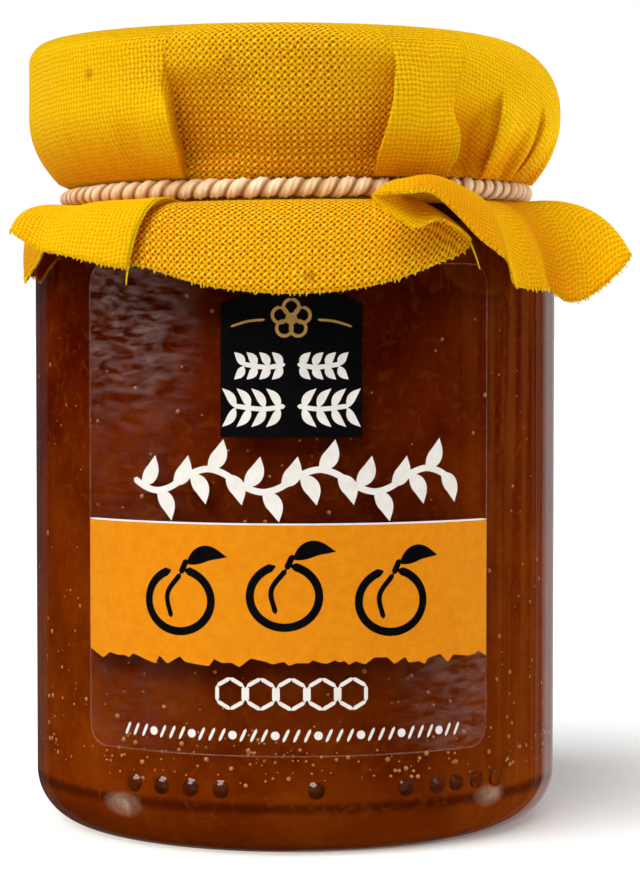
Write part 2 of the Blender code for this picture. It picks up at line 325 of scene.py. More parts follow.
# %% Cooked fruit jelly
PULP_CLOUD = 9 * MM
PULP_FLECK = 1.6 * MM

fruit_jelly, tree, shader = start_material("fruit_jelly")
place = add_node(tree, "TexCoord", {}, {}).outputs["Object"]
clouds = add_node(tree, "TexNoise", {}, {
    "Vector": place, "Scale": 1 / PULP_CLOUD, "Detail": 3.0, "Roughness": 0.6,
})
flecks = add_node(tree, "TexNoise", {}, {
    "Vector": place, "Scale": 1 / PULP_FLECK, "Detail": 2.0, "Distortion": 1.2,
})
soft = add_node(tree, "MapRange", {}, {"Value": clouds, "From Min": 0.36, "From Max": 0.66})
sharp = add_node(tree, "MapRange", {}, {"Value": flecks, "From Min": 0.52, "From Max": 0.74})
# Two tones of the jelly: a darker one for painted shade high up, a paler one for painted light low down.
jelly_in_painted_shade = add_node(tree, "Mix", RGBA, {0: soft, MIX_A: linear("#561100"), MIX_B: linear("#6e2100")})
jelly_in_painted_light = add_node(tree, "Mix", RGBA, {0: soft, MIX_A: linear("#782c02"), MIX_B: linear("#8e3e06")})
print("clouds of pulp:", PULP_CLOUD / MM, "mm across")

# %% [markdown]
# The jam is painted darkest high up, for the shade under the cloth, and palest low
# down, for the light that comes in from the table as well. The middle is painted
# darker than the sides, for the deeper jelly there, and the right side carries faint
# upright streaks of painted reflection from the wavy wall.

# %% Painted light and shade of the jam
DARK_ABOVE = 56 * MM
PALE_BELOW = 8 * MM
STREAK = 1.3 * MM

parts = add_node(tree, "SeparateXYZ", {}, {0: place})
# Painted light grows from high up to low down.
depth = add_node(tree, "MapRange", {}, {
    "Value": parts.outputs["Z"], "From Min": DARK_ABOVE, "From Max": PALE_BELOW,
})
# Painted shade: the middle, where the jelly is deepest, stays darker than the sides.
aside = add_node(tree, "Math", {"operation": "ABSOLUTE"}, {0: parts.outputs["X"]})
outer = add_node(tree, "MapRange", {}, {
    "Value": aside, "From Min": 8 * MM, "From Max": 27 * MM, "To Min": 0.6,
})
depth = add_node(tree, "Math", MULTIPLY, {0: depth, 1: outer})
painted_light_and_shade = add_node(tree, "Mix", RGBA, {0: depth, MIX_A: jelly_in_painted_shade, MIX_B: jelly_in_painted_light})
# Painted reflection: faint upright streaks on the right side, from the wavy wall.
streak_place = add_node(tree, "Mapping", {}, {"Vector": place, "Scale": (1, 1, 0.03)})
reflection_streaks = add_node(tree, "TexNoise", {}, {"Vector": streak_place, "Scale": 1 / STREAK, "Detail": 2.0})
at_side = add_node(tree, "MapRange", {}, {
    "Value": parts.outputs["X"], "From Min": 17 * MM, "From Max": 24 * MM, "To Max": 0.3,
})
streaked = add_node(tree, "MapRange", {}, {"Value": reflection_streaks, "From Min": 0.42, "From Max": 0.62})
painted_reflection = add_node(tree, "Math", MULTIPLY, {0: streaked, 1: at_side})
sides = add_node(tree, "Mix", RGBA, {0: painted_reflection, MIX_A: painted_light_and_shade, MIX_B: linear("#a0541c")})
print(f"the jam goes from pale to dark over {(DARK_ABOVE - PALE_BELOW) / MM:.0f} mm")

# %% [markdown]
# A dark line of painted shadow runs round where the jam ends and the glass base
# begins. Two pale glints on that line, one at each side, are painted reflections of
# the window that the thick base gathers. Flecks of pulp go over everything, and then
# the light is let in.

# %% Painted base shadow, painted glints and depth of the jam
BASE_LINE = 5.9 * MM
PULP_SHOWS = 0.35
GLINT_SHOWS = 0.8
GLINT_FLATNESS = 2.2
HEEL_GLINTS = (
    ((-19.6 * MM, -22.6 * MM, 5.4 * MM), 3.2 * MM),
    ((22.2 * MM, -20.4 * MM, 6.0 * MM), 3.0 * MM),
)
JELLY_DEPTH = 7 * MM

# Painted shadow: a dark line round where the jam meets the glass base.
from_line = add_node(tree, "Math", {"operation": "SUBTRACT"}, {0: parts.outputs["Z"], 1: BASE_LINE})
beside_line = add_node(tree, "Math", {"operation": "ABSOLUTE"}, {0: from_line})
painted_base_shadow = add_node(tree, "MapRange", {}, {
    "Value": beside_line, "From Min": 0.9 * MM, "From Max": 0.2 * MM, "To Max": 0.75,
})
base = add_node(tree, "Mix", RGBA, {0: painted_base_shadow, MIX_A: sides, MIX_B: linear("#3c0e02")})
pulp = add_node(tree, "Math", MULTIPLY, {0: sharp, 1: PULP_SHOWS})
colour = add_node(tree, "Mix", RGBA, {0: pulp, MIX_A: base, MIX_B: linear("#96470c")})
# Painted reflections: two pale glints on the heel.
flatter = (1, 1, GLINT_FLATNESS)
glint_place = add_node(tree, "Mapping", {}, {"Vector": place, "Scale": flatter})
for centre, radius in HEEL_GLINTS:
    centre = tuple(np.multiply(centre, flatter))
    glint = add_spot(tree, glint_place, centre, radius, GLINT_SHOWS)
    broken = add_node(tree, "Math", MULTIPLY, {0: glint, 1: flecks})
    colour = add_node(tree, "Mix", RGBA, {0: broken, MIX_A: colour, MIX_B: linear("#d8bca4")})
set_inputs(shader, {
    "Base Color": colour, "Roughness": 0.6, "IOR": 1.4, "Specular IOR Level": 0.0,
    "Subsurface Weight": 0.8, "Subsurface Radius": (1.0, 0.3, 0.08), "Subsurface Scale": JELLY_DEPTH,
})
print("glints on the heel:", len(HEEL_GLINTS))

# %% [markdown]
# Jam touches the glass all over. If the two surfaces only met, a thin air gap would
# flash between them, so the jam's skin is set a fraction of a millimetre inside the
# wall of the glass. It fills the jar up to the rim, where the cover hides its top.
#
# The thick base is clear, but it looks as brown as the jam, because the air under it
# turns every line of sight back up into the jam. Tracing that would take light that
# comes up through the table, so the jam's skin follows the heel down instead.

# %% Jam
INTO_GLASS = 0.35 * MM
JAM_COLUMNS = 240
JAM_RADIUS = BODY_RADIUS - WALL + INTO_GLASS


def jam_outline():
    """The jam's skin: the inside of the glass, but near the heel's outer form low down."""
    heel = (BODY_RADIUS - HEEL_RADIUS, HEEL_RADIUS)
    heel_reach = JAM_RADIUS - heel[0]
    under = HEEL_RADIUS - heel_reach
    outline = [(heel[0] * share, under + PUSH_UP * (1 - share**2)) for share in np.linspace(0, 1, 9)[:-1]]
    outline += arc(heel, heel_reach, -90, 0, 14)
    return outline + [point for point in inner_outline(-INTO_GLASS) if point[1] > SHOULDER_Z - MM]


profile = jam_outline()
profile += [(profile[-1][0], RIM_Z - 0.3 * MM), (0.0, RIM_Z - 0.3 * MM)]
profile = np.array(profile[::-1])
turns = np.linspace(0, 360, JAM_COLUMNS, endpoint=False)
jam = grid_piece("jam_fill", around(turns, profile[:, :1], profile[:, 1:]), fruit_jelly)
jam.data.set_sharp_from_angle(angle=math.radians(60))
merge_poles(jam)
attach(jam, "root")
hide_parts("jam")
print(f"jam reaches {JAM_RADIUS / MM:.2f} mm from the axis")

# %% [markdown]
# Boiled jam holds tiny air bubbles that cling to the glass, most of them low down
# and where it was filled from. Each is a small ball half sunk in the jam's skin, so
# that it catches a point of light. They are far too many to place by hand: a seeded
# draw scatters them, and one mesh holds them all. Behind each dot of the heel sits a
# larger, dark ball: painted shade for the dark bead that the dot's lens makes of the
# jam there.

# %% Air bubbles
BUBBLES = 900
BUBBLE_SMALL = 0.10 * MM
BUBBLE_LARGE = 0.34 * MM
BUBBLE_LOW = 8.5 * MM
BUBBLE_HIGH = 64.0 * MM
BUBBLE_CROWDING = 3.2
BUBBLE_RARITY = 3
BEAD_SHARE = 0.46


def bubble_skin(name, dark, light, speckles, roughness, shine):
    """The skin of a bubble, in two tones, with a number of speckles to the metre."""
    material, tree, shader = start_material(name)
    place = add_node(tree, "TexCoord", {}, {}).outputs["Object"]
    tint = add_node(tree, "TexNoise", {}, {"Vector": place, "Scale": speckles})
    tone = add_node(tree, "Mix", RGBA, {0: tint, MIX_A: linear(dark), MIX_B: linear(light)})
    set_inputs(shader, {"Base Color": tone, "Roughness": roughness, "Specular IOR Level": shine})
    return material


# The bubbles are real; their pale tones are painted light, for the pale look of air in jam.
jelly_bubble = bubble_skin("jelly_bubble", "#9a4c10", "#e2a05c", 400.0, 0.12, 0.9)
# Dark balls of painted shade, for the dark beads that the heel's dots show.
painted_dot_shade = bubble_skin("painted_heel_dot_shade", "#2e0e02", "#642806", 900.0, 0.3, 0.15)

draw = random.Random(31)
work = bmesh.new()
bmesh.ops.create_icosphere(work, subdivisions=2, radius=1.0)
ball_points = np.array([corner.co for corner in work.verts])
ball_faces = np.array([[corner.index for corner in face.verts] for face in work.faces])
work.free()
middles = []
for _ in range(BUBBLES):
    rise = (BUBBLE_HIGH - BUBBLE_LOW) * draw.random() ** BUBBLE_CROWDING
    bubble_z = BUBBLE_LOW + rise + draw.uniform(0, 3) * MM
    size = BUBBLE_SMALL + (BUBBLE_LARGE - BUBBLE_SMALL) * draw.random() ** BUBBLE_RARITY
    middles.append((draw.uniform(-180, 180), JAM_RADIUS + 0.1 * size, bubble_z, size))
# A ball of painted shade behind each dot of the heel.
for dot_turn in DOT_TURNS:
    bent = math.asin(math.sin(math.radians(dot_turn)) / GLASS_IOR)
    met = math.asin(BODY_RADIUS / JAM_RADIUS * math.sin(bent))
    bead_turn = dot_turn + math.degrees(met - bent)
    middles.append((bead_turn, JAM_RADIUS - 0.2 * DOT_RADIUS, DOT_Z - 0.2 * MM, BEAD_SHARE * DOT_RADIUS))
points = [around(turn, reach, height) + ball_points * size for turn, reach, height, size in middles]
faces = [ball_faces + i * len(ball_points) for i in range(len(middles))]
points = np.vstack(points).tolist()
faces = np.vstack(faces).tolist()
bubbles = add_piece("jam_bubbles", points, faces, jelly_bubble, painted_dot_shade)
is_bead = np.repeat(np.arange(len(middles)) >= BUBBLES, len(ball_faces))
bubbles.data.polygons.foreach_set("material_index", is_bead.astype(np.int32))
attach(bubbles, "root")
print("bubbles:", BUBBLES, "triangles:", len(faces))

# %% [markdown]
# The label is printed polypropylene film with a clear glue. Clear film shows the jam
# behind it, with a faint grey-lilac bloom where the glue has not wetted the glass.
# That bloom is what makes it read as film, so it is a patchy see-through coat.

# %% Clear label film
LABEL_TURN = -2.2
LABEL_HALF_TURN = 46.0
LABEL_BOTTOM = 12.2 * MM
LABEL_TOP = 69.0 * MM
LABEL_CORNER = 2.5 * MM
FILM_RADIUS = BODY_RADIUS + 0.07 * MM
GLUE_PATCH = 1.5 * MM

label_film, tree, shader = start_material("polypropylene_film")
place = add_node(tree, "TexCoord", {}, {}).outputs["Object"]
parts = add_node(tree, "SeparateXYZ", {}, {0: place})
stretch = add_node(tree, "Mapping", {}, {"Vector": place, "Scale": (0.5, 0.5, 1.7)})
patches = add_node(tree, "TexNoise", {}, {
    "Vector": stretch, "Scale": 1 / GLUE_PATCH, "Detail": 4.0, "Roughness": 0.65,
})
at_left = add_node(tree, "MapRange", {}, {
    "Value": parts.outputs["X"], "From Min": -10 * MM, "From Max": -17 * MM,
})
at_right = add_node(tree, "MapRange", {}, {
    "Value": parts.outputs["X"], "From Min": 11 * MM, "From Max": 20 * MM, "To Max": 0.7,
})
patchy = add_node(tree, "MapRange", {}, {"Value": patches, "From Min": 0.4, "From Max": 0.75})
high_up = add_node(tree, "MapRange", {}, {
    "Value": parts.outputs["Z"], "From Min": 49 * MM, "From Max": 60 * MM, "To Min": 0.15,
})
low_down = add_node(tree, "MapRange", {}, {
    "Value": parts.outputs["Z"], "From Min": 34 * MM, "From Max": 22 * MM,
})
left_share = add_node(tree, "Math", MULTIPLY, {0: at_left, 1: high_up})
side_share = add_node(tree, "Math", {"operation": "MULTIPLY_ADD"}, {
    0: at_right, 1: low_down, 2: left_share,
})
bloom = add_node(tree, "Math", MULTIPLY, {0: patchy, 1: side_share})
alpha = add_node(tree, "MapRange", {}, {"Value": bloom, "To Min": 0.002, "To Max": 0.8})
set_inputs(shader, {
    "Base Color": linear("#8c6c66"), "Roughness": 0.25, "IOR": 1.49, "Specular IOR Level": 0.2,
    "Alpha": alpha,
})
print("glue patches:", GLUE_PATCH / MM, "mm")

# %% [markdown]
# The film is a flat cut sheet with rounded corners, bent round the jar. Everything on
# the label is such a patch: a lower and an upper edge, and rows between them.

# %% Sheet of film
FILM_HALF = math.radians(LABEL_HALF_TURN) * BODY_RADIUS


def wrapped_panel(name, left, right, low, high, radius, material, rows, step=0.5 * MM, turn=0.0):
    """A patch of the label. low and high give its edges at a distance across, in metres."""
    across = np.linspace(left, right, int((right - left) / step) + 1)
    share = np.linspace(1, 0, rows)[:, None]
    bottom = np.array([low(x) for x in across])
    top = np.array([high(x) for x in across])
    heights = bottom + (top - bottom) * share
    turns = turn + np.degrees(across / BODY_RADIUS)
    return grid_piece(name, around(turns[None, :], radius, heights), material, wraps=False)


def corner_drop(x):
    """How far the film's rounded corners cut into its height."""
    past = max(0.0, abs(x) - (FILM_HALF - LABEL_CORNER))
    return LABEL_CORNER - math.sqrt(max(0.0, LABEL_CORNER**2 - past**2))


film = wrapped_panel(
    "label_film_sheet", -FILM_HALF, FILM_HALF,
    lambda x: LABEL_BOTTOM + corner_drop(x), lambda x: LABEL_TOP - corner_drop(x),
    FILM_RADIUS, label_film, rows=12, turn=LABEL_TURN,
)
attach(film, "root")
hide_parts("label_film")
print(f"film {2 * FILM_HALF / MM:.1f} by {(LABEL_TOP - LABEL_BOTTOM) / MM:.1f} mm")

# %% [markdown]
# The print is ink on the film: a golden band with a torn lower edge, a black shield
# above it, and motifs in white, black and bronze. Ink is thin and a little glossy
# under its varnish. Each colour is its own thin mesh a few hundredths of a
# millimetre above the film, because a colour that is geometry keeps a crisp edge.

# %% Printing inks
CUT_EDGE_SHOWS = 0.28


def printing_ink(name, dark, light, grain, roughness=0.35):
    """Ink in two close tones, mottled at a grain in metres."""
    material, tree, shader = start_material(name)
    place = add_node(tree, "TexCoord", {}, {}).outputs["Object"]
    mottle = add_node(tree, "TexNoise", {}, {
        "Vector": place, "Scale": 1 / grain, "Detail": 5.0, "Roughness": 0.7,
    })
    spread = add_node(tree, "MapRange", {}, {"Value": mottle, "From Min": 0.3, "From Max": 0.7})
    tone = add_node(tree, "Mix", RGBA, {0: spread, MIX_A: linear(dark), MIX_B: linear(light)})
    set_inputs(shader, {
        "Base Color": tone, "Roughness": roughness, "IOR": 1.49, "Specular IOR Level": 0.12,
    })
    return material


golden_ink = printing_ink("golden_ink", "#d47a00", "#de8a04", 1.2 * MM)
black_ink = printing_ink("black_ink", "#050506", "#0c0c0d", 2.0 * MM)
white_ink = printing_ink("white_ink", "#d9d3cb", "#e9e4dc", 2.0 * MM)
bronze_ink = printing_ink("bronze_ink", "#9c7a3c", "#b8924c", 1.0 * MM)
# Painted highlight: pale see-through ink for the film's cut edge.
film_edge = printing_ink("cut_edge_painted_highlight", "#7c5648", "#b89c90", 4.0 * MM)
set_inputs(film_edge.node_tree.nodes["Principled BSDF"], {"Alpha": CUT_EDGE_SHOWS})
print("inks:", ", ".join(ink.name for ink in (golden_ink, black_ink, white_ink, bronze_ink)))

# %% [markdown]
# The band's lower edge is torn like paper: short slopes with sudden notches. A
# seeded walk makes it, with each step a millimetre or so long.

# %% Golden band
BAND_TOP = 39.0 * MM
BAND_TORN_Z = 23.0 * MM
TEAR_STEP = (0.4 * MM, 1.7 * MM)
TEAR_DEPTH = 0.55 * MM
INK_RADIUS = FILM_RADIUS + 0.03 * MM

draw = random.Random(12)
tear_x = [-FILM_HALF]
tear_z = [BAND_TORN_Z + 0.6 * MM]
while tear_x[-1] < FILM_HALF:
    tear_x.append(tear_x[-1] + draw.uniform(*TEAR_STEP))
    tear_z.append(BAND_TORN_Z + draw.uniform(-1, 1) * TEAR_DEPTH)

band = wrapped_panel(
    "label_golden_band", -FILM_HALF, FILM_HALF,
    lambda x: float(np.interp(x, tear_x, tear_z)), lambda x: BAND_TOP,
    INK_RADIUS, golden_ink, rows=6, step=0.2 * MM, turn=LABEL_TURN,
)
print("points along the tear:", len(tear_x))

# %% [markdown]
# The shield is a plain black panel with a gently arched top, tucked up under the
# cloth's hem.

# %% Black shield
PRINT_TURN = -0.8
SHIELD_HALF = 8.2 * MM
SHIELD_BOTTOM = 49.0 * MM
SHIELD_TOP = 64.4 * MM
SHIELD_ARCH = 1.8 * MM

shield = wrapped_panel(
    "label_black_shield", -SHIELD_HALF, SHIELD_HALF,
    lambda x: SHIELD_BOTTOM, lambda x: SHIELD_TOP + SHIELD_ARCH * (1 - (x / SHIELD_HALF) ** 2),
    INK_RADIUS, black_ink, rows=4, turn=PRINT_TURN,
)
for piece in (band, shield):
    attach(piece, "root")
print(f"shield {2 * SHIELD_HALF / MM:.1f} mm wide")

# %% [markdown]
# The motifs are drawn with one tool, a brush line: a smooth path with a width that
# can swell and taper. Leaves, blossoms, fruit and cells are all made of such lines.
# Flat shapes could be cut from polygons instead, but a line that is already a strip
# of short quads bends round the jar without creasing.

# %% Brush lines
BRUSH_STEP = 0.25 * MM
PRINT_LIFT = 0.02 * MM


def smooth_path(points, closed=False):
    """A curve through the points, sampled evenly."""
    points = np.array(points, float)
    if closed:
        points = np.vstack([points[-1:], points, points[:2]])
    else:
        points = np.vstack([2 * points[0] - points[1], points, 2 * points[-1] - points[-2]])
    curve = []
    for before, start, end, after in zip(points, points[1:], points[2:], points[3:]):
        count = max(2, int(np.linalg.norm(end - start) / BRUSH_STEP))
        t = np.linspace(0, 1, count, endpoint=False)[:, None]
        bend = (2 * start - 2 * end) + (end - before) / 2 + (after - start) / 2
        sway = 3 * (end - start) - (end - before) - (after - start) / 2
        curve.append(start + (end - before) / 2 * t + sway * t**2 + bend * t**3)
    curve.append(points[-2:-1])
    return np.vstack(curve)


class Ink:
    """Gathers brush lines of one colour and makes them one mesh."""

    def __init__(self):
        self.points = []
        self.quads = []

    def line(self, path, width, swell=None):
        """A brush line with round ends, or with its width following swell from 0 to 1."""
        along = np.gradient(path, axis=0)
        along /= np.maximum(np.linalg.norm(along, axis=1, keepdims=True), 1e-12)
        side = np.stack([-along[:, 1], along[:, 0]], axis=1)
        steps = np.linalg.norm(np.diff(path, axis=0), axis=1)
        run = np.concatenate([[0], np.cumsum(steps)])
        if swell is None:
            near = np.minimum(run, run[-1] - run) / (width / 2)
            half = width / 2 * np.sqrt(1 - (1 - np.minimum(near, 1)) ** 2)
            half = np.maximum(half, 0.2 * width / 2)
        else:
            half = width / 2 * swell(run / run[-1])
        first = len(self.points)
        for place, out, reach in zip(path, side, half):
            self.points += [place + out * reach, place - out * reach]
        for i in range(len(path) - 1):
            here = first + 2 * i
            self.quads.append((here, here + 1, here + 3, here + 2))

    def make(self, name, material, lift):
        """Bends the lines round the jar as one piece, lifted off the ink below them."""
        flat = np.array(self.points)
        turns = PRINT_TURN + np.degrees(flat[:, 0] / BODY_RADIUS)
        points = around(turns, INK_RADIUS + lift, flat[:, 1]).tolist()
        piece = add_piece(name, points, self.quads, material)
        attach(piece, "root")
        print(name, "has", len(self.quads), "quads")
        return piece


def leaf_swell(share):
    """A leaf's width along its length: pointed at both ends, fullest before the middle."""
    return np.maximum(np.sin(math.pi * share**0.8), 0.02)


def leaf_path(foot, angle, length, curl=0.15):
    """A gently curved midline for a leaf, from its foot."""
    angle = math.radians(angle)
    ahead = np.array([math.cos(angle), math.sin(angle)])
    aside = np.array([-ahead[1], ahead[0]])
    foot = np.array(foot, float)
    return smooth_path([foot, foot + length * (0.5 * ahead + curl * aside), foot + length * ahead])


def ring_path(centre, width, height, start=90, turn=360):
    """An oval line, or a stretch of one."""
    angles = np.radians(np.linspace(start, start + turn, 40))
    across = centre[0] + width / 2 * np.cos(angles)
    return np.stack([across, centre[1] + height / 2 * np.sin(angles)], axis=1)


# %% [markdown]
# Across the film runs a white garland, the shield holds a small bronze blossom over
# two white sprigs, cells of honeycomb sit below the band, and a row of dots and
# dashes closes the label. All of them are stock ornaments of the kind that printers
# have always had in a drawer.

# %% White print
GARLAND_Z = 44.0 * MM
GARLAND_HALF = 19.5 * MM
GARLAND_WAVE = 1.3 * MM
GARLAND_LEAVES = 18
SPRIG_ROWS = ((57.4 * MM, 5.6 * MM, 1.9 * MM), (52.6 * MM, 6.6 * MM, 2.7 * MM))
SPRIG_LEAVES = 4
CELL_Z = 19.4 * MM
CELL_RADIUS = 2.05 * MM
CELLS = 5
FOOT_Z = 14.6 * MM
FOOT_HALF = 20.5 * MM
FOOT_MARKS = 34
FOOT_DOT = 0.5 * MM
GARLAND_LEAF = 3.9 * MM
GARLAND_LEAF_ANGLE = 62
BROAD_LEAF = 1.9 * MM
NARROW_LEAF = 1.0 * MM
STEM_LINE = 0.75 * MM
TWIG_LINE = 0.55 * MM
CELL_LINE = 0.45 * MM
DASH_LINE = 0.34 * MM
RULE_LINE = 0.22 * MM

white = Ink()


def garland_point(x):
    """The middle of the garland's stem at a distance across."""
    return (x, GARLAND_Z + GARLAND_WAVE * math.sin(3 * math.pi * x / GARLAND_HALF))


stem = [garland_point(x) for x in np.linspace(-GARLAND_HALF, GARLAND_HALF, 25)]
white.line(smooth_path(stem), STEM_LINE)
rule = np.linspace(-FILM_HALF, FILM_HALF, 60) + math.radians(LABEL_TURN - PRINT_TURN) * BODY_RADIUS
white.line(np.stack([rule, np.full_like(rule, BAND_TOP)], axis=1), RULE_LINE)
for i in range(GARLAND_LEAVES):
    foot = garland_point(GARLAND_HALF * (-0.94 + 1.88 * i / (GARLAND_LEAVES - 1)))
    side = 1 if i % 2 == 0 else -1
    leaf = leaf_path(foot, side * GARLAND_LEAF_ANGLE, GARLAND_LEAF, -0.12 * side)
    white.line(leaf, BROAD_LEAF, leaf_swell)
for row_z, half, leaf in SPRIG_ROWS:
    for side in (-1, 1):
        twig = [(side * 0.7 * MM, row_z), (side * half / 2, row_z - 0.35 * MM), (side * half, row_z)]
        white.line(smooth_path(twig), TWIG_LINE)
        for i in range(SPRIG_LEAVES):
            foot = (side * half * (0.2 + 0.26 * i), row_z - 0.2 * MM)
            for up in (-1, 1):
                angle = 90 - side * 90 + side * up * 55
                white.line(leaf_path(foot, angle, leaf, 0.1 * up * side), NARROW_LEAF, leaf_swell)
for i in range(CELLS):
    middle = ((i - (CELLS - 1) / 2) * CELL_RADIUS * math.sqrt(3), CELL_Z)
    hexagon = arc(middle, 0.88 * CELL_RADIUS, 90, 450, 6)
    for start, end in zip(hexagon, hexagon[1:]):
        white.line(np.linspace(start, end, 8), CELL_LINE)
for i in range(FOOT_MARKS):
    x = FOOT_HALF * (-1 + 2 * i / (FOOT_MARKS - 1))
    if i % 4 == 3:
        white.line(ring_path((x, FOOT_Z), FOOT_DOT, FOOT_DOT), FOOT_DOT, np.ones_like)
    else:
        dash = [(x - 0.35 * MM, FOOT_Z - 0.75 * MM), (x + 0.35 * MM, FOOT_Z + 0.75 * MM)]
        white.line(smooth_path(dash), DASH_LINE)
white.make("label_white_print", white_ink, PRINT_LIFT)

# %% [markdown]
# The cut edge of the film catches light as a hair-thin pale line all round, painted as a line of pale
# see-through ink.

# %% Edge of the film
EDGE_WIDTH = 0.16 * MM

corner_x = FILM_HALF - LABEL_CORNER
corner_low = LABEL_BOTTOM + LABEL_CORNER
corner_high = LABEL_TOP - LABEL_CORNER
edge = []
for i, (side, z) in enumerate(((1, corner_high), (-1, corner_high), (-1, corner_low), (1, corner_low))):
    edge += arc((side * corner_x, z), LABEL_CORNER, 90 * i, 90 * i + 90, 6)
edge = np.array(edge + edge[:1])
edge[:, 0] += math.radians(LABEL_TURN - PRINT_TURN) * BODY_RADIUS
run = np.concatenate([[0], np.cumsum(np.linalg.norm(np.diff(edge, axis=0), axis=1))])
even = np.arange(0, run[-1], BRUSH_STEP)
edge = np.stack([np.interp(even, run, edge[:, 0]), np.interp(even, run, edge[:, 1])], axis=1)
cut_edge = Ink()
cut_edge.line(edge, EDGE_WIDTH, np.ones_like)
cut_edge.make("label_film_edge", film_edge, -0.01 * MM)

# %% [markdown]
# The blossom on the shield has five round petals and a dotted middle, with a fine
# arched line on each side of it.

# %% Bronze print
BLOSSOM_Z = 62.6 * MM
PETALS = 5
PETAL_SIZE = 1.75 * MM
PETAL_REACH = 1.35 * MM
PISTIL = 0.35 * MM
PETAL_LINE = 0.38 * MM
FLOURISH_LINE = 0.28 * MM
# Across and up from the blossom's middle, in mm
FLOURISH = ((3.0, -0.1), (5.0, -0.3), (7.0, -0.9))

bronze = Ink()
for middle in arc((0, BLOSSOM_Z), PETAL_REACH, 90, 450, PETALS)[:PETALS]:
    bronze.line(ring_path(middle, PETAL_SIZE, PETAL_SIZE), PETAL_LINE)
bronze.line(ring_path((0, BLOSSOM_Z), PISTIL, PISTIL), PISTIL)
for side in (-1, 1):
    line = [(side * across * MM, BLOSSOM_Z + up * MM) for across, up in FLOURISH]
    bronze.line(smooth_path(line), FLOURISH_LINE)
bronze.make("label_bronze_print", bronze_ink, PRINT_LIFT)

# %% [markdown]
# On the band, three apricots with a leaf each are drawn in loose black brush lines:
# an open oval, the seam that every apricot has, a short stalk and a leaf.

# %% Black print
FRUIT_Z = 30.3 * MM
FRUIT_WIDTH = 8.0 * MM
FRUIT_HEIGHT = 7.2 * MM
FRUIT_PITCH = 12.6 * MM
BRUSH_WIDTH = 0.95 * MM
SEAM_LINE = 0.6 * MM
STALK_LINE = 0.7 * MM
FRUIT_LEAF = 5.0 * MM

black = Ink()
for i in (-1, 0, 1):
    x = i * FRUIT_PITCH - 0.8 * MM
    z = FRUIT_Z + (0.4 * MM if i == 0 else -0.3 * MM)
    black.line(ring_path((x, z), FRUIT_WIDTH, FRUIT_HEIGHT, 105, 335), BRUSH_WIDTH)
    seam = [(x + 0.2 * MM, z + 3.1 * MM), (x - 1.5 * MM, z + 0.7 * MM), (x - 1.0 * MM, z - 2.0 * MM)]
    black.line(smooth_path(seam), SEAM_LINE)
    stalk = [(x + 0.2 * MM, z + 3.1 * MM), (x + 1.0 * MM, z + 4.8 * MM)]
    black.line(smooth_path(stalk), STALK_LINE)
    black.line(leaf_path((x + 1.0 * MM, z + 4.3 * MM), 10, FRUIT_LEAF, 0.16), BROAD_LEAF, leaf_swell)
black.make("label_black_print", black_ink, PRINT_LIFT)

# %% [markdown]
# The cover is cotton in plain weave, so loose that the gaps show as dark specks. The
# threads sit 0.58 mm apart. The pattern is worked out in the cloth's own flat
# coordinates, which the mesh carries as a UV map in threads: two sines give the
# round backs of warp and weft, and the sign of their product says which is on top.

# %% Threads of plain-weave cotton
THREAD_PITCH = 0.58 * MM
# How much a thread rises where it lies on top, and its height on average
WARP_HEIGHT = (0.35, 0.57)
WEFT_HEIGHT = (-0.3, 0.7)

cotton_weave, tree, shader = start_material("plain_weave_cotton")
threads = add_node(tree, "UVMap", {"uv_map": "Threads"}, {})
place = add_node(tree, "TexCoord", {}, {}).outputs["Object"]
wobble = add_node(tree, "TexNoise", {}, {"Vector": threads, "Scale": 0.35, "Detail": 2.0})
shift = add_node(tree, "VectorMath", {"operation": "MULTIPLY_ADD"}, {
    0: wobble.outputs["Color"], 1: (0.9, 0.9, 0.0), 2: threads,
})
parts = add_node(tree, "SeparateXYZ", {}, {0: shift})
waves = []
backs = []
for axis in ("X", "Y"):
    angle = add_node(tree, "Math", MULTIPLY, {0: parts.outputs[axis], 1: math.pi})
    waves.append(add_node(tree, "Math", {"operation": "SINE"}, {0: angle}))
    backs.append(add_node(tree, "Math", {"operation": "ABSOLUTE"}, {0: waves[-1]}))
over = add_node(tree, "Math", MULTIPLY, {0: waves[0], 1: waves[1]})
rises = []
for back, (swing, level) in zip(backs, (WARP_HEIGHT, WEFT_HEIGHT)):
    high = add_node(tree, "Math", {"operation": "MULTIPLY_ADD"}, {0: over, 1: swing, 2: level})
    rises.append(add_node(tree, "Math", MULTIPLY, {0: back, 1: high}))
rise = add_node(tree, "Math", {"operation": "MAXIMUM"}, {0: rises[0], 1: rises[1]})
thickest = add_node(tree, "Math", {"operation": "MAXIMUM"}, {0: backs[0], 1: backs[1]})
print(f"{10 * MM / THREAD_PITCH:.0f} threads to the centimetre")

# %% [markdown]
# The gaps are where both threads are low. They are painted dark brown, for the dark
# jar and the shade under the cloth that show through them. How open the weave is
# differs from panel to panel, since cloth pulled across the bias opens up and cloth
# along the thread stays shut, so a second map carries that. Its second value says
# where painted shade deepens the colour, in folds and above the cord.

# %% Gaps of the weave
GAP_SOFTNESS = 0.24

openness = add_node(tree, "UVMap", {"uv_map": "Openness"}, {})
open_share = add_node(tree, "SeparateXYZ", {}, {0: openness})
gap_size = add_node(tree, "MapRange", {}, {
    "Value": open_share.outputs["X"], "To Min": 0.0, "To Max": 0.52,
})
uneven = add_node(tree, "TexNoise", {}, {"Vector": threads, "Scale": 0.9, "Detail": 1.0})
gap_share = add_node(tree, "MapRange", {}, {
    "Value": uneven, "From Min": 0.3, "From Max": 0.7, "To Min": 0.6, "To Max": 1.35,
})
gap_size = add_node(tree, "Math", MULTIPLY, {0: gap_size, 1: gap_share})
contrast = add_node(tree, "MapRange", {}, {
    "Value": open_share.outputs["X"], "To Min": 0.6, "To Max": 1.0,
})
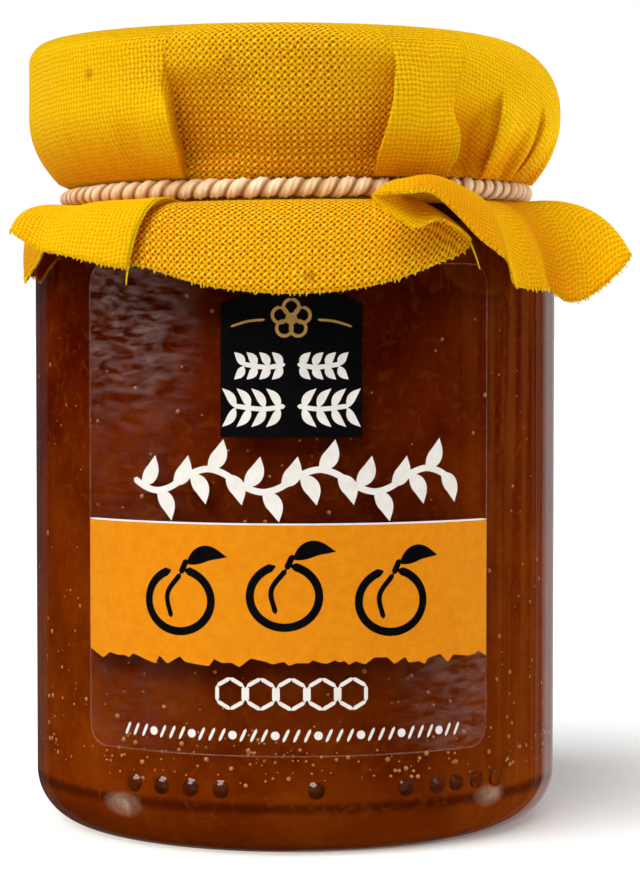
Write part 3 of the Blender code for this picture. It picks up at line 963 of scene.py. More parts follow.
# Painted shade in the dips between threads, stronger where the weave is open.
dip = add_node(tree, "Math", {"operation": "SUBTRACT"}, {0: 1.0, 1: rise})
shade = add_node(tree, "Math", MULTIPLY, {0: dip, 1: contrast})
gap_soft = add_node(tree, "Math", {"operation": "ADD"}, {0: gap_size, 1: GAP_SOFTNESS})
solid = add_node(tree, "MapRange", {}, {"Value": thickest, "From Min": gap_size, "From Max": gap_soft})
print("the weave's edges are soft over", GAP_SOFTNESS, "of a thread's height")

# %% [markdown]
# The yarn is golden and a little uneven along its length. A painted highlight
# brightens each knuckle where a weft thread rides over, and painted shade browns the
# dips between threads. Three small stains are where the jar's own cloth has them. The
# fuzz of cotton is a fine bump and a touch of sheen, and some light sinks in, so that
# edges facing away from the light still glow.

# %% Colour, painted shade and highlights, and fuzz of the cotton
SLUB = 5 * MM
FIBRE = 0.25 * MM
STAIN_RADIUS = 1.0 * MM
STAINS = (
    (-24.2 * MM, -22.7 * MM, 91.3 * MM),
    (-7.7 * MM, -32.3 * MM, 92.0 * MM),
    (1.7 * MM, -37.5 * MM, 67.4 * MM),
)

slub = add_node(tree, "TexNoise", {}, {"Vector": place, "Scale": 1 / SLUB, "Detail": 3.0})
yarn = add_node(tree, "Mix", RGBA, {0: slub, MIX_A: linear("#febb00"), MIX_B: linear("#ffca02")})
# Painted shade of the folds and above the cord, from the map's second value.
yarn_in_painted_shade = add_node(tree, "Mix", RGBA, {
    0: open_share.outputs["Y"], MIX_A: yarn, MIX_B: linear("#e08c00"),
})
shaded = add_node(tree, "Mix", RGBA, {0: shade, MIX_A: yarn_in_painted_shade, MIX_B: linear("#c47200")})
# Painted highlight on the weft's knuckles, where the weave is open.
knuckle = add_node(tree, "MapRange", {}, {
    "Value": rises[1], "From Min": 0.66, "From Max": 1.0, "To Max": 0.75,
})
glint = add_node(tree, "Math", MULTIPLY, {0: knuckle, 1: open_share.outputs["X"]})
shaded = add_node(tree, "Mix", RGBA, {0: glint, MIX_A: shaded, MIX_B: linear("#ffe24a")})
# The gaps are painted dark brown, for the dark jar and the shade under the cloth.
colour = add_node(tree, "Mix", RGBA, {0: solid, MIX_A: linear("#8c4a00"), MIX_B: shaded})
for centre in STAINS:
    stain = add_spot(tree, place, centre, STAIN_RADIUS, 0.5)
    colour = add_node(tree, "Mix", RGBA, {0: stain, MIX_A: colour, MIX_B: linear("#8c5a0c")})
fibre = add_node(tree, "TexNoise", {}, {"Vector": place, "Scale": 1 / FIBRE, "Detail": 2.0})
height = add_node(tree, "Math", {"operation": "MULTIPLY_ADD"}, {0: fibre, 1: 0.25, 2: rise})
bump = add_node(tree, "Bump", {}, {"Height": height, "Strength": 0.8, "Distance": 0.22 * MM})
set_inputs(shader, {
    "Base Color": colour, "Normal": bump, "Roughness": 0.9, "Specular IOR Level": 0.05,
    "Sheen Weight": 0.05, "Sheen Roughness": 0.5, "Sheen Tint": linear("#ffc820"),
    "Subsurface Weight": 0.5, "Subsurface Radius": (1.0, 0.45, 0.05), "Subsurface Scale": 1.3 * MM,
})
print("stains:", len(STAINS))

# %% [markdown]
# The cover was a disc 132 mm across. Pulled in by a cord 57 mm wide, it has far more
# edge than room, and the spare cloth goes into folds. Each fold is a line that runs
# from a turn at the cord to a turn at the hem. Where the hem turns run backwards the
# cloth doubles over itself, as it does beside the rolled corner at the right of the
# front. A simulation would gather the disc too, but never into these very folds, so
# the folds are listed one by one: a smooth curve through them gives the hem.

# %% Folds of the skirt
CORD_Z = 77.8 * MM
CORD_RING_RADIUS = 28.5 * MM
CORD_THICKNESS = 2.2 * MM
CORD_TILT = 0.35 * MM

# Turn at the cord, turn at the hem, reach and height of the hem, crown of the fold
FRONT_FOLDS = (
    (-110, -108, 34.8, 68.0, 0.3),
    (-96, -94, 34.2, 68.0, 0.3),
    (-84, -80, 33.8, 67.4, 0.3),
    (-73, -62, 34.5, 70.8, 0.3),
    (-66, -56, 40.5, 73.0, 0.6),
    (-56, -50, 39.3, 70.8, 0.4),
    (-47, -43, 39.2, 70.0, 0.9),
    (-36, -35, 39.0, 68.9, 1.1),
    (-27.6, -29.7, 38.4, 68.3, 1.2),
    (-26.4, -36, 36.8, 69.0, 0.2),
    (-25, -29, 36.6, 68.6, 0.2),
    (-20, -24.5, 37.0, 67.9, 0.3),
    (-11, -14, 37.6, 66.2, 0.4),
    (0, 0.9, 38.0, 65.5, 0.4),
    (9, 14.6, 38.0, 66.6, 0.4),
    (15, 25.7, 38.0, 69.05, 0.3),
    (18.5, 31.8, 38.0, 71.3, 0.2),
    (20, 24.6, 39.5, 73.7, 0.3),
    (21, 19.4, 40.5, 72.8, 0.6),
    (22, 14.7, 41.0, 74.4, 1.2),
    (23, 11.8, 41.5, 76.3, 1.6),
    (25, 17.2, 41.9, 76.8, 2.2),
    (28, 21.7, 41.6, 76.8, 2.5),
    (31, 26.5, 41.0, 74.6, 2.7),
    (34, 31.7, 40.3, 71.8, 2.5),
    (38, 38.2, 39.7, 69.3, 1.8),
    (43, 43.3, 37.6, 66.6, 0.6),
    (50, 52.6, 37.5, 66.0, 0.5),
    (54, 57, 36.0, 66.2, 0.2),
    (58, 61.6, 37.5, 64.6, 0.3),
    (64, 66, 40.0, 66.0, 0.6),
    (70, 68.2, 43.5, 70.2, 1.0),
    (76, 80, 38.0, 71.0, 0.5),
    (86, 92, 35.5, 69.5, 0.3),
)
print("folds laid by hand:", len(FRONT_FOLDS))

# %% [markdown]
# The back can't be seen, so it gets even flutes, crest and valley in turn, each a
# little different by a seeded draw. Then a cubic curve is run through all the folds
# and sampled. Each sample is one column of the cloth's mesh.

# %% Columns of the cloth
BACK_FLUTES = 5
BACK_FROM = 94.0
BACK_TO = 240.0
CREST = (40.6, 71.2)
VALLEY = (35.2, 67.8)
FLUTE_UNEVENNESS = 0.6
COLUMN_PITCH = 0.45


def skirt_folds():
    """All folds in order of their turn at the cord, lengths in millimetres."""
    draw = random.Random(7)
    folds = list(FRONT_FOLDS)
    pitch = (BACK_TO - BACK_FROM) / (2 * BACK_FLUTES)
    for i in range(2 * BACK_FLUTES):
        turn = BACK_FROM + pitch * (i + 0.5)
        reach, height = VALLEY if i % 2 == 0 else CREST
        reach += draw.uniform(-1, 1) * FLUTE_UNEVENNESS
        height += draw.uniform(-1, 1) * FLUTE_UNEVENNESS
        folds.append((turn, turn + draw.uniform(-1.5, 1.5), reach, height, 0.5))
    return np.array(folds)


def follow_folds(folds):
    """The cover's columns: a closed curve through the folds, closer where the hem runs far."""
    count = len(folds)
    lap = np.array([360, 360, 0, 0, 0])
    columns = []
    for i in range(count):
        before = folds[i - 1] - (lap if i == 0 else 0)
        here = folds[i]
        there = folds[(i + 1) % count] + (lap if i + 1 >= count else 0)
        beyond = folds[(i + 2) % count] + (lap if i + 2 >= count else 0)
        span = there[0] - here[0]
        slope_here = (there - before) / (there[0] - before[0]) * span
        slope_there = (beyond - here) / (beyond[0] - here[0]) * span
        steps = int(max(span, abs(there[1] - here[1])) / COLUMN_PITCH) + 1
        t = np.linspace(0, 1, steps, endpoint=False)[:, None]
        columns.append(
            here * (2 * t**3 - 3 * t**2 + 1)
            + slope_here * (t**3 - 2 * t**2 + t)
            + there * (3 * t**2 - 2 * t**3)
            + slope_there * (t**3 - t**2)
        )
    return np.vstack(columns)


columns = follow_folds(skirt_folds())
cord_turn = columns[:, 0]
hem_turn = columns[:, 1]
hem_reach = columns[:, 2] * MM
hem_height = columns[:, 3] * MM
crown = columns[:, 4] * MM
print("columns of the cover:", len(columns))

# %% [markdown]
# Over the lid the cloth is a flat drum with pleats down its side. A pleat is a step
# in the surface: one side lies on top and laps a little over the other. The front
# panel between the two deepest pleats sinks in, and near the cord the cloth puckers
# finely wherever it is gathered.

# %% The cap over the lid
CAP_TOP = 96.6 * MM
CAP_RADIUS = 33.2 * MM
CAP_TUCK = 3.9 * MM
CAP_TUCK_FROM = 88.0 * MM
CAP_TUCK_TO = 79.3 * MM
TIGHT_EDGE = 2.6 * MM
LOOSE_EDGE = 8.5 * MM
LOOSE_EDGE_TURN = 95.0
LOOSE_EDGE_SPREAD = 62.0
TOP_ROWS = 12
SIDE_ROWS = 34

# Turn at the cord, slant at the top edge, its curve, step in mm, side on top, lap, and
# the share of the way down where it starts
CAP_PLEATS = (
    (-26.3, -2.0, 1.0, 2.2, -1, 4.5, 0.44),
    (18.4, 8.0, 1.0, 2.2, 1, 5.0, 0.22),
    (37.6, -8.0, 0.6, 1.8, -1, 4.0, 0.5),
    (48.5, 1.5, 0.6, 1.9, 1, 4.0, 0.3),
    (63.0, 3.0, 1.0, 1.2, 1, 2.0, 0.3),
)
BACK_PLEAT_STEP = 1.4
PLEAT_RAMP = 0.28
PLEAT_SPREAD = 8.0
LEAN_SPREAD = 14.0
LAP_PULL = 0.8
LAP_SHARPNESS = 1.5
STEP_SHARPNESS = 0.9
# Shares of the way down over which a slant shows, and the cord flattens the relief
LEAN_SHOWS = (0.1, 0.6)
PLEATS_FLATTEN = (0.88, 1.0)
HOLLOWS_FLATTEN = (0.86, 1.0)

# Hollows: first and last turn at the cord, how soft each side is in degrees, share of
# the way down where it starts, how soft that is, depth in mm
HOLLOWS = (
    (-26.3, 18.4, 0.9, 2.5, 0.52, 0.36, 1.7),
    (-26.8, -10.0, 1.4, 14.0, 0.45, 0.06, 1.5),
    (37.6, 46.0, 0.9, 2.5, 0.55, 0.12, 1.7),
    (-40.0, -33.0, 3.0, 3.0, 0.72, 0.15, 0.5),
    (52.0, 59.0, 2.0, 3.0, 0.6, 0.2, 0.9),
)


def cap_pleats():
    """The front's pleats, then one above each of the back's crests."""
    pleats = list(CAP_PLEATS)
    pitch = (BACK_TO - BACK_FROM) / BACK_FLUTES
    for i in range(BACK_FLUTES):
        turn = BACK_FROM + pitch * (i + 0.65)
        side = 1 if i % 2 == 0 else -1
        pleats.append((turn, 3.0 * side, 1.0, BACK_PLEAT_STEP, side, 2.5, 0.25))
    return pleats


def ease(value, low, high):
    """Rises smoothly from 0 at low to 1 at high."""
    t = np.clip((value - low) / (high - low), 0, 1)
    return t * t * (3 - 2 * t)


def pleated(down):
    """(change of turn, change of reach) that the pleats make, a share of the way down the cap's side."""
    lean = np.zeros_like(cord_turn)
    relief = np.zeros_like(cord_turn)
    near_cord = 1 - 0.7 * ease(down, *PLEATS_FLATTEN)
    for at_cord, slant, curve, step, side, lap, start in cap_pleats():
        shown = ease(down, start, start + PLEAT_RAMP) * near_cord
        past = turn_between(cord_turn, at_cord)
        leaning = slant * (1 - down) ** curve * ease(down, *LEAN_SHOWS)
        lean += leaning * np.exp(-((past / LEAN_SPREAD) ** 2))
        lean -= LAP_PULL * past * lap * shown * np.exp(-((past / LAP_SHARPNESS) ** 2))
        across = past * side
        stepped = np.tanh(across / STEP_SHARPNESS) * np.exp(-np.abs(across) / PLEAT_SPREAD)
        relief += step / 2 * MM * shown * stepped
    for first, last, soft_first, soft_last, start, soft_start, depth in HOLLOWS:
        inside = ease(cord_turn, first - soft_first / 2, first + soft_first / 2)
        inside = inside * (1 - ease(cord_turn, last - soft_last / 2, last + soft_last / 2))
        begun = ease(down, start - soft_start, start + soft_start)
        relief -= depth * MM * inside * begun * (1 - 0.6 * ease(down, *HOLLOWS_FLATTEN))
    return lean, relief


print("pleats:", len(cap_pleats()), "hollows:", len(HOLLOWS))

# %% [markdown]
# Puckers are what is left of the spare cloth just above the cord. They are two waves
# round the cap that don't repeat together, so no two puckers look the same.

# %% Puckers above the cord
PUCKER_RISE = 0.22 * MM
PUCKER_FROM = 0.45
PUCKER_CURVE = 1.3
# Waves in a full turn
FINE_PUCKERS = 61
BROAD_PUCKERS = 37
# Turns over which the puckers grow at the right and fade after the left
PUCKERED_RIGHT = (45, 70)
PUCKERED_LEFT = (-62, -38)


def puckers(down):
    """Fine gathers just above the cord, strongest where the cloth is bunched."""
    bunched = 0.15 + ease(cord_turn, *PUCKERED_RIGHT) + 0.5 * (1 - ease(cord_turn, *PUCKERED_LEFT))
    fine = np.sin(np.radians(cord_turn * FINE_PUCKERS))
    broad = np.sin(np.radians(cord_turn * BROAD_PUCKERS + 50))
    grown = (max(0.0, down - PUCKER_FROM) / PUCKER_FROM) ** PUCKER_CURVE
    return PUCKER_RISE * bunched * (fine + 0.7 * broad) * grown


print(f"puckers rise {PUCKER_RISE / MM:.2f} mm")

# %% [markdown]
# With the pleats known, the cap's rows can be laid: straight out over the lid, round
# the edge, which is tighter on one side than on the other, and down to the cord,
# tucked in as it nears it.

# %% Rows of the cap
EDGE_SHARE = 0.3
TUCK_CURVE = 2.2

away = turn_between(cord_turn, LOOSE_EDGE_TURN) / LOOSE_EDGE_SPREAD
edge = TIGHT_EDGE + (LOOSE_EDGE - TIGHT_EDGE) * np.exp(-away * away)
rows = []
side_reliefs = []
for share in np.linspace(0, 1, TOP_ROWS, endpoint=False):
    rows.append(around(cord_turn, share * (CAP_RADIUS - edge), CAP_TOP))
for i in range(SIDE_ROWS + 1):
    down = i / SIDE_ROWS
    angle = math.radians(90 * (1 - min(1.0, down / EDGE_SHARE)))
    past_edge = max(0.0, down - EDGE_SHARE) / (1 - EDGE_SHARE)
    reach = CAP_RADIUS - edge + edge * math.cos(angle)
    height = CAP_TOP - edge + edge * math.sin(angle) + (CAP_TUCK_TO - CAP_TOP + edge) * past_edge
    tucked = np.maximum(0.0, CAP_TUCK_FROM - height) / (CAP_TUCK_FROM - CAP_TUCK_TO)
    reach = reach - CAP_TUCK * tucked**TUCK_CURVE
    lean, relief = pleated(down)
    side_reliefs.append(relief)
    rows.append(around(cord_turn + lean, reach + relief + puckers(down), height))
cap_rows = len(rows)
print("rows of the cap:", cap_rows)

# %% [markdown]
# Under the cord the cloth is pressed into a groove, and below it flares out into the
# skirt. Each column of the skirt is a short bent line from the cord to the hem. The
# crown says how far it arches up first, which is what rolls the corner at the right
# up over the cord.

# %% The skirt
GROOVE_RADIUS = CORD_THICKNESS / 2 + 0.12 * MM
SKIRT_START = (28.7 * MM, 76.3 * MM)
SKIRT_ROWS = 26
SHOULDER_CLEARANCE = 35.0 * MM
BULGE_AT = 0.72
TURN_CURVE = 0.9
GROOVE_ARC = (112, 248)

cord_tilt = CORD_TILT * np.sin(np.radians(cord_turn))
for angle in np.radians(np.linspace(*GROOVE_ARC, 9)):
    reach = CORD_RING_RADIUS + GROOVE_RADIUS * math.cos(angle)
    rows.append(around(cord_turn, reach, CORD_Z + GROOVE_RADIUS * math.sin(angle) + cord_tilt))
start_reach, start_height = SKIRT_START
bulge_reach = np.maximum(SHOULDER_CLEARANCE, start_reach + BULGE_AT * (hem_reach - start_reach))
for i in range(SKIRT_ROWS + 1):
    share = i / SKIRT_ROWS
    first, middle, last = (1 - share) ** 2, 2 * share * (1 - share), share**2
    reach = first * start_reach + middle * bulge_reach + last * hem_reach
    height = first * start_height + middle * (start_height + 2 * crown) + last * hem_height
    height = height + cord_tilt * (1 - share)
    turn = cord_turn + (hem_turn - cord_turn) * share**TURN_CURVE
    rows.append(around(turn, reach, height))
cover_grid = np.stack(rows)
print("rows of the cover:", len(rows))

# %% [markdown]
# The weave follows the cloth, not the camera or the axes. On the lid's top the flat
# cloth is simply there. Down the side each panel between two pleats kept its own
# direction of thread, so the distance down a column and the distance across the
# panel give a place on the flat disc, which is then measured along the threads.

# %% Place of each point on the flat cloth
# First and last turn, turn of the middle, angle on the flat cloth, openness
PANELS = [
    (-120.0, -26.4, -62.0, -48.0, 0.12),
    (-26.4, 18.5, -4.0, -2.0, 0.95),
    (18.5, 37.6, 27.0, 41.0, 0.12),
    (37.6, 94.0, 58.0, 60.0, 0.16),
]
FIRST_TURN = PANELS[0][0]
# Rows below the top over which the side's threads take over from the top's
TAKE_OVER_ROWS = 8

flute = (BACK_TO - BACK_FROM) / BACK_FLUTES
for i in range(BACK_FLUTES):
    start = BACK_FROM + flute * i
    PANELS.append((start, start + flute, start + flute / 2, start + flute / 2, 0.2))

row = np.arange(len(rows))[:, None]
steps_down = np.linalg.norm(np.diff(cover_grid, axis=0), axis=2)
run_down = np.vstack([np.zeros(len(cord_turn)), np.cumsum(steps_down, axis=0)])
steps_across = np.linalg.norm(np.diff(cover_grid, axis=1, append=cover_grid[:, :1]), axis=2)
run_across = np.hstack([np.zeros((len(rows), 1)), np.cumsum(steps_across, axis=1)[:, :-1]])
flat = np.zeros(cover_grid.shape[:2] + (2,))
open_map = np.zeros(cover_grid.shape[:2])
wrapped = (cord_turn - FIRST_TURN) % 360 + FIRST_TURN
for start, end, middle, angle, openness_here in PANELS:
    held = (wrapped >= start) & (wrapped < end)
    centre = np.argmin(np.abs(turn_between(wrapped, middle)))
    angle = math.radians(angle)
    ahead = np.array([math.sin(angle), -math.cos(angle)])
    aside = np.array([math.cos(angle), math.sin(angle)])
    across = run_across - run_across[:, centre : centre + 1]
    flat[:, held] = run_down[:, held, None] * ahead + across[:, held, None] * aside
    open_map[:, held] = openness_here
polar = around(cord_turn[None, :], run_down, 0.0)[..., :2]
side_share = ease(row, TOP_ROWS, TOP_ROWS + TAKE_OVER_ROWS)
flat = polar * (1 - side_share[..., None]) + flat * side_share[..., None]
diagonal = math.sqrt(0.5) / THREAD_PITCH
thread_map = diagonal * np.stack([flat[..., 0] + flat[..., 1], flat[..., 0] - flat[..., 1]], axis=-1)
print("panels of the cloth:", len(PANELS))

# %% [markdown]
# High up the openness changes slowly from panel to panel, because the cloth is one
# piece there, so it is averaged over nearby columns. Lower down each pleat parts it
# sharply. Painted shade follows the folds: it warms the colour in the hollows, above
# the cord, and in the two places where the skirt doubles and lies in its own shade.

# %% Openness and painted shade
EVEN_OUT_TURN = 12.0
TOP_OPENNESS = 0.4
SHADE_SPREAD = 8.0
# Turn at the cord and strength of painted shade, for the rolled corner and the valley beside it
PAINTED_SHADE_PLACES = ((32.0, 0.8), (55.0, 0.35))
# Rows below the top over which each panel gets its own openness
PANELS_PART = (15, 21)
# The skirt is shaded where its hem hangs in, within this reach and over this depth
SHADED_REACH = 39.5 * MM
SHADED_OVER = 5 * MM
HOLLOW_SHADE = 4 * MM
# Rows that are shaded above the cord, and rows under it where the skirt's shade starts
ROWS_ABOVE_CORD = 15
ROWS_UNDER_CORD = 6

nearby = np.abs(turn_between(cord_turn[:, None], cord_turn[None, :])) < EVEN_OUT_TURN
evened = open_map @ nearby / nearby.sum(axis=0)
low_share = ease(row - TOP_ROWS, *PANELS_PART)
open_map = evened * (1 - low_share) + open_map * low_share
open_map = open_map * side_share + TOP_OPENNESS * (1 - side_share)

skirt_painted_shade = 0.9 * np.clip((SHADED_REACH - hem_reach) / SHADED_OVER, 0, 1)
for turn, strength in PAINTED_SHADE_PLACES:
    skirt_painted_shade = skirt_painted_shade + strength * np.exp(-(((cord_turn - turn) / SHADE_SPREAD) ** 4))
reliefs = np.zeros(cover_grid.shape[:2])
reliefs[TOP_ROWS:cap_rows] = side_reliefs
cap_painted_shade = np.clip(0.1 - reliefs / HOLLOW_SHADE, 0, 1)
cap_painted_shade = cap_painted_shade + 0.8 * ease(row, cap_rows - ROWS_ABOVE_CORD, cap_rows)
painted_shade_map = np.where(row > cap_rows + ROWS_UNDER_CORD, skirt_painted_shade, cap_painted_shade)
print(f"openness from {open_map.min():.2f} to {open_map.max():.2f}")

# %% [markdown]
# Now the rows become the sheet, with its two maps. The real cloth is about a third of
# a millimetre thick, which a modifier adds on the inner side.

# %% Cotton cover
CLOTH_THICKNESS = 0.35 * MM

cover = grid_piece("cotton_cover", cover_grid, cotton_weave)
give_map(cover, "Threads", thread_map.reshape(-1, 2))
# The Openness map's second value is the painted shade.
give_map(cover, "Openness", np.stack([open_map, painted_shade_map], axis=-1).reshape(-1, 2))
merge_poles(cover)
shell = cover.modifiers.new("Thickness", "SOLIDIFY")
shell.thickness = CLOTH_THICKNESS
shell.offset = -1.0
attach(cover, "root")
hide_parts("cloth_cover")
print(f"cloth from the middle to the hem: {run_down[-1].mean() / MM:.1f} mm on average")

# %% [markdown]
# The disc was cut, not hemmed, so its edge is a row of thread ends, with a few
# threads that have worked loose. Each end is a short thin strand that leaves the
# edge in about the direction of the cloth. They are one mesh of seeded strands.

# %% Frayed edge
FRAY_WIDTH = 0.28 * MM
FRAY_LENGTH = (0.22 * MM, 0.55 * MM)
FRAY_ROOT = 0.2 * MM
FRAY_DROOP = 0.1 * MM
FRAY_LEAN = 0.8
LOOSE_DROOP = 0.8 * MM
LOOSE_WIDTH = 0.3 * MM
THREAD_TWIST = 0.4 * MM
STRAND_SIDES = 5
STRAND_STEP = 0.35 * MM
# Turn at the cord, length in mm
LOOSE_THREADS = (
    (18.6, 2.6),
    (22.6, 1.6),
    (38.0, 2.7),
    (39.5, 1.3),
    (-28.0, 1.1),
    (120.0, 2.8),
    (203.0, 3.1),
)

thread_cotton = cotton_weave.copy()
thread_cotton.name = "loose_cotton_thread"
tree = thread_cotton.node_tree
place = add_node(tree, "TexCoord", {}, {}).outputs["Object"]
twist = add_node(tree, "TexNoise", {}, {"Vector": place, "Scale": 1 / THREAD_TWIST})
colour = add_node(tree, "Mix", RGBA, {0: twist, MIX_A: linear("#d88c04"), MIX_B: linear("#fcbc18")})
set_inputs(tree.nodes["Principled BSDF"], {"Base Color": colour})

draw = random.Random(5)
strand_points = []
strand_faces = []


def add_strand(foot, ahead, length, droop, width):
    """A thin tapering tube from foot, bending down by droop."""
    count = max(3, int(length / STRAND_STEP) + 2)
    ahead = ahead.normalized()
    across = ahead.cross(Vector((0, 0, 1))).normalized()
    up = across.cross(ahead)
    first = len(strand_points)
    for i in range(count):
        share = i / (count - 1)
        middle = foot + ahead * length * share + Vector((0, 0, -droop * share * share))
        half = width / 2 * (1 - 0.5 * share)
        for k in range(STRAND_SIDES):
            angle = 2 * math.pi * k / STRAND_SIDES
            strand_points.append(middle + (across * math.cos(angle) + up * math.sin(angle)) * half)
    for here in range(first, first + (count - 1) * STRAND_SIDES, STRAND_SIDES):
        there = here + STRAND_SIDES
        for k in range(STRAND_SIDES):
            step = (k + 1) % STRAND_SIDES
            strand_faces.append((here + k, here + step, there + step, there + k))
    strand_faces.append(tuple(first + k for k in reversed(range(STRAND_SIDES))))
    strand_faces.append(tuple(first + (count - 1) * STRAND_SIDES + k for k in range(STRAND_SIDES)))


hem = [Vector(p) for p in cover_grid[-1]]
above = [Vector(p) for p in cover_grid[-2]]
walked = 0.0
for i, (corner, back) in enumerate(zip(hem, above)):
    beside = hem[(i + 1) % len(hem)]
    walked += (beside - corner).length
    while walked > THREAD_PITCH:
        walked -= THREAD_PITCH
        outward = (corner - back).normalized()
        along = (beside - corner).normalized()
        lean = draw.uniform(-FRAY_LEAN, FRAY_LEAN)
        foot = corner.lerp(beside, draw.random()) - outward * FRAY_ROOT
        add_strand(foot, outward + along * lean, draw.uniform(*FRAY_LENGTH), FRAY_DROOP, FRAY_WIDTH)
for turn, length in LOOSE_THREADS:
    i = int(np.argmin(np.abs(turn_between(cord_turn, turn))))
    outward = (hem[i] - above[i]).normalized()
    drooping = outward + Vector((draw.uniform(-0.4, 0.4), 0, -0.5))
    add_strand(hem[i], drooping, length * MM, LOOSE_DROOP, LOOSE_WIDTH)
frayed = add_piece("cotton_frayed_ends", [tuple(p) for p in strand_points], strand_faces, thread_cotton)
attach(frayed, "root")
print("strands:", len(strand_faces) // STRAND_SIDES)

# %% [markdown]
# The tie is a rubber core wound with soft cream yarn. The windings stand out like
# beads and lean a little, and they flatten where the cord is stretched. The lean is
# what makes it a wound cord and not a string of pearls, so each winding is a ridge
# along a helix round the core, with seeded differences in size.

# %% Wound cotton yarn
YARN_FIBRE = 0.3 * MM
YARN_PATCH = 4 * MM

wound_yarn, tree, shader = start_material("wound_cotton_yarn")
place = add_node(tree, "TexCoord", {}, {}).outputs["Object"]
fibres = add_node(tree, "TexNoise", {}, {"Vector": place, "Scale": 1 / YARN_FIBRE, "Detail": 3.0})
dirt = add_node(tree, "TexNoise", {}, {"Vector": place, "Scale": 1 / YARN_PATCH, "Detail": 2.0})
warmth = add_node(tree, "MapRange", {}, {"Value": dirt, "From Min": 0.35, "From Max": 0.7})
colour = add_node(tree, "Mix", RGBA, {0: warmth, MIX_A: linear("#f8e2bc"), MIX_B: linear("#ecc894")})
ridges = add_node(tree, "UVMap", {"uv_map": "Ridges"}, {})
ridge_parts = add_node(tree, "SeparateXYZ", {}, {0: ridges})
raised = add_node(tree, "MapRange", {}, {
    "Value": ridge_parts.outputs["X"], "From Min": 0.25, "From Max": 0.85,
})
# Painted shade: the grooves between windings are browner than the backs.
wound = add_node(tree, "Mix", RGBA, {0: raised, MIX_A: linear("#a86c30"), MIX_B: colour})
bump = add_node(tree, "Bump", {}, {"Height": fibres, "Strength": 0.5, "Distance": 0.12 * MM})
set_inputs(shader, {
    "Base Color": wound, "Normal": bump, "Roughness": 0.9, "Sheen Weight": 0.15,
    "Subsurface Weight": 0.2, "Subsurface Radius": (1.0, 0.6, 0.35), "Subsurface Scale": 0.6 * MM,
})
print("the yarn's fuzz is", YARN_FIBRE / MM, "mm")

# %% [markdown]
# The cord's own surface is a closed tube whose thickness swells at each winding. A
# weaker, finer wave gives the three strands that the yarn is spun from. The height
# of the ridge goes into a map, so that painted shade can brown the grooves between
# the windings.

# %% Windings of the cord
WINDINGS = 88
WINDING_RISE = 0.42 * MM
WINDING_SLANT = 1.5
STRANDS = 3
STRAND_RISE = 0.10 * MM
WINDING_SIZES = (0.75, 1.15)
WINDING_DRIFT = 0.16
# How much the windings flatten, and the turns over which that starts and ends
FLATTENED = 0.65
FLAT_FROM = (-140, -85)
FLAT_TO = (-85, -45)
CORD_COLUMNS = 1760
CORD_SECTION = 22

draw = random.Random(9)
turns = np.linspace(-180, 180, CORD_COLUMNS, endpoint=False)
around_core = np.linspace(0, 360, CORD_SECTION, endpoint=False)
sizes = np.array([draw.uniform(*WINDING_SIZES) for _ in range(WINDINGS)])
drift = np.array([draw.uniform(-WINDING_DRIFT, WINDING_DRIFT) for _ in range(WINDINGS)])
phase = (turns[None, :] + 180) / 360 * WINDINGS + around_core[:, None] / 360 * WINDING_SLANT
winding = np.floor(phase).astype(int) % WINDINGS
inside = phase - np.floor(phase)
inside = inside + drift[winding] * np.sin(math.pi * inside)
ridge = np.sin(math.pi * np.clip(inside, 0, 1)) ** 0.7
stretched = 1 - FLATTENED * (1 - ease(turns, *FLAT_TO)) * ease(turns, *FLAT_FROM)
strand = np.cos(2 * math.pi * (STRANDS * phase - around_core[:, None] / 360))
section = CORD_THICKNESS / 2 - WINDING_RISE * 0.75 + WINDING_RISE * ridge * sizes[winding] * stretched
section = section + STRAND_RISE * strand * ridge * stretched
angles = np.radians(180 - around_core)[:, None]
reach = CORD_RING_RADIUS + section * np.cos(angles)
height = CORD_Z + section * np.sin(angles) + CORD_TILT * np.sin(np.radians(turns))
grid = around(turns, reach, height)
grid = np.vstack([grid, grid[:1]])
groove = np.vstack([ridge, ridge[:1]]).reshape(-1)
cord = grid_piece("wound_elastic", grid, wound_yarn)
give_map(cord, "Ridges", np.stack([groove, groove], axis=-1))
merge_poles(cord)
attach(cord, "root")
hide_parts("tie_band")
print("windings:", WINDINGS, f"each {2 * math.pi * CORD_RING_RADIUS / WINDINGS / MM:.2f} mm long")

# %% [markdown]
# The jar stands on a matt pale board, as on a product table. It throws light back up
# at the jam. It has a little light of its own, which keeps it white to its edges,
# and the glass doesn't mirror it.

# %% Floor
FLOOR_HALF = 8.0

pale_floor, tree, shader = start_material("matt_pale_board")
place = add_node(tree, "TexCoord", {}, {}).outputs["Object"]
grain = add_node(tree, "TexNoise", {}, {"Vector": place, "Scale": 60.0, "Detail": 3.0})
colour = add_node(tree, "Mix", RGBA, {0: grain, MIX_A: linear("#f8f8f7"), MIX_B: linear("#fcfcfb")})
set_inputs(shader, {
    "Base Color": colour, "Roughness": 1.0, "Specular IOR Level": 0.0,
    "Emission Color": linear("#ffffff"), "Emission Strength": 0.08,
})
corners = [[(x, y, 0) for x in (-FLOOR_HALF, FLOOR_HALF)] for y in (FLOOR_HALF, -FLOOR_HALF)]
floor = grid_piece("studio_floor", np.array(corners), pale_floor, wraps=False)
floor.visible_glossy = False
floor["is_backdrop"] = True
print("floor:", 2 * FLOOR_HALF, "m wide")

# %% [markdown]
# The key light is a very wide overhead panel, a little to the left and towards the
# camera. It leaves the sides of folds in shade. A sun lamp with a wide angle does
# that, and is as bright near as far. A small panel at the right keeps the far side
# of the cloth from going dull.

# %% Lights
SUN_FROM = (-0.38, -0.45, 0.81)
SUN_STRENGTH = 3.25
SUN_WIDTH = 50.0
RIM_PLACE = (0.55, 0.12, 0.16)
RIM_AIM = (0, 0, 0.07)
RIM_SIZE = 0.3
RIM_POWER = 1.6


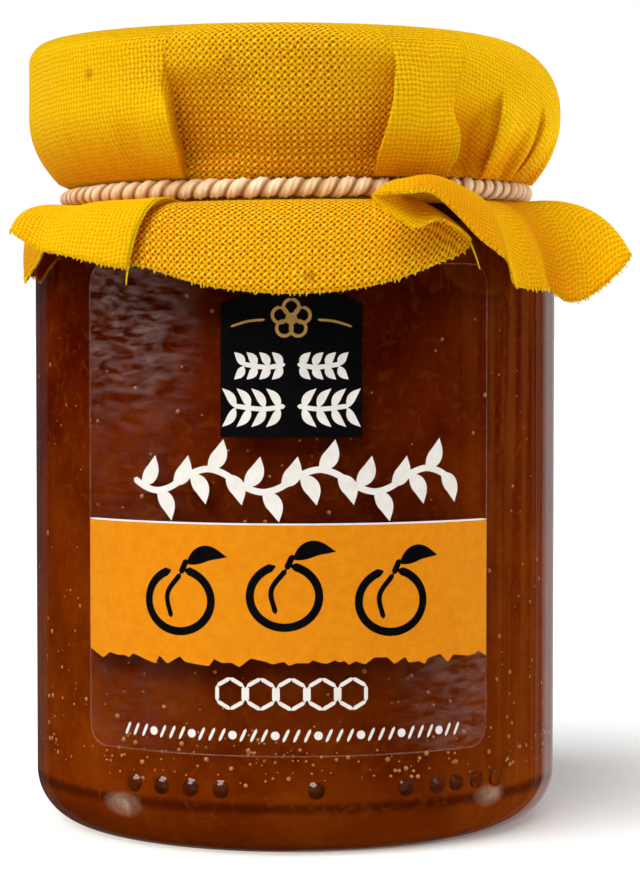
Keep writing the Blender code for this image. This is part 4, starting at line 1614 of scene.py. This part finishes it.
def hang_light(name, kind, place, aim, strength):
    """A light at a place, turned to face a point."""
    light = bpy.data.lights.new(name, kind)
    light.energy = strength
    lamp = bpy.data.objects.new(name, light)
    bpy.context.scene.collection.objects.link(lamp)
    lamp.location = place
    lamp.rotation_euler = (Vector(aim) - Vector(place)).to_track_quat("-Z", "Y").to_euler()
    return lamp


sun_lamp = hang_light("overhead_panel", "SUN", SUN_FROM, (0, 0, 0), SUN_STRENGTH)
sun_lamp.data.angle = math.radians(SUN_WIDTH)
rim_lamp = hang_light("right_rim_light", "AREA", RIM_PLACE, RIM_AIM, RIM_POWER)
rim_lamp.data.size = RIM_SIZE
rim_lamp.visible_glossy = False
print("lights:", len(bpy.data.lights))

# %% [markdown]
# Glass mirrors whatever is round it. In front there is only a dark room, which
# leaves the jam deep and clear, and behind there is a pale wall, brighter on the
# right, which only shows at the jar's very edges. So the surroundings have one
# brightness for mirror rays, another for the light that falls on things, and plain
# white for the camera.

# %% Surroundings
# How far behind a mirror ray looks, 0 for sideways and 1 for straight back, and how
# bright it finds the wall there
EDGE_GLINTS = (
    (0.0, 0.0),
    (0.672, 0.02),
    (0.685, 0.5),
    (0.695, 0.05),
    (0.71, 0.02),
    (0.72, 0.35),
    (0.73, 0.03),
    (0.76, 0.05),
    (0.79, 0.85),
    (1.0, 0.9),
)
SKY_FILL = 0.25
CAMERA_WHITE = 1.0

world = bpy.data.worlds.new("studio_surroundings")
bpy.context.scene.world = world
world.use_nodes = True
tree = world.node_tree
place = add_node(tree, "TexCoord", {}, {}).outputs["Generated"]
parts = add_node(tree, "SeparateXYZ", {}, {0: place})
behind = add_node(tree, "ValToRGB", {}, {0: parts.outputs["Y"]})
while len(behind.color_ramp.elements) < len(EDGE_GLINTS):
    behind.color_ramp.elements.new(0.5)
for element, (behind_share, brightness) in zip(behind.color_ramp.elements, EDGE_GLINTS):
    element.position = behind_share
    element.color = (brightness, brightness, brightness, 1.0)
to_right = add_node(tree, "MapRange", {}, {
    "Value": parts.outputs["X"], "From Min": -0.2, "From Max": 0.3, "To Min": 0.1, "To Max": 1.0,
})
bands = add_node(tree, "TexNoise", {"noise_dimensions": "1D"}, {"W": parts.outputs["X"], "Scale": 9.0})
banded = add_node(tree, "Math", MULTIPLY, {0: to_right, 1: bands})
mirrored = add_node(tree, "Math", MULTIPLY, {0: banded, 1: behind})
path = add_node(tree, "LightPath", {}, {})
lit = add_node(tree, "Mix", {"data_type": "FLOAT"}, {
    0: path.outputs["Is Glossy Ray"], 2: SKY_FILL, 3: mirrored,
})
seen = add_node(tree, "Mix", {"data_type": "FLOAT"}, {
    0: path.outputs["Is Camera Ray"], 2: lit, 3: CAMERA_WHITE,
})
set_inputs(tree.nodes["Background"], {"Strength": seen, "Color": linear("#ffffff")})
bpy.context.scene.view_settings.view_transform = "Standard"
print("bright and dark steps of the wall behind:", len(EDGE_GLINTS))

# %% [markdown]
# Last, the box round the finished model is measured and printed in millimetres.

low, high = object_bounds()
print("visual size in mm:", [round((b - a) / MM, 1) for a, b in zip(low, high)])
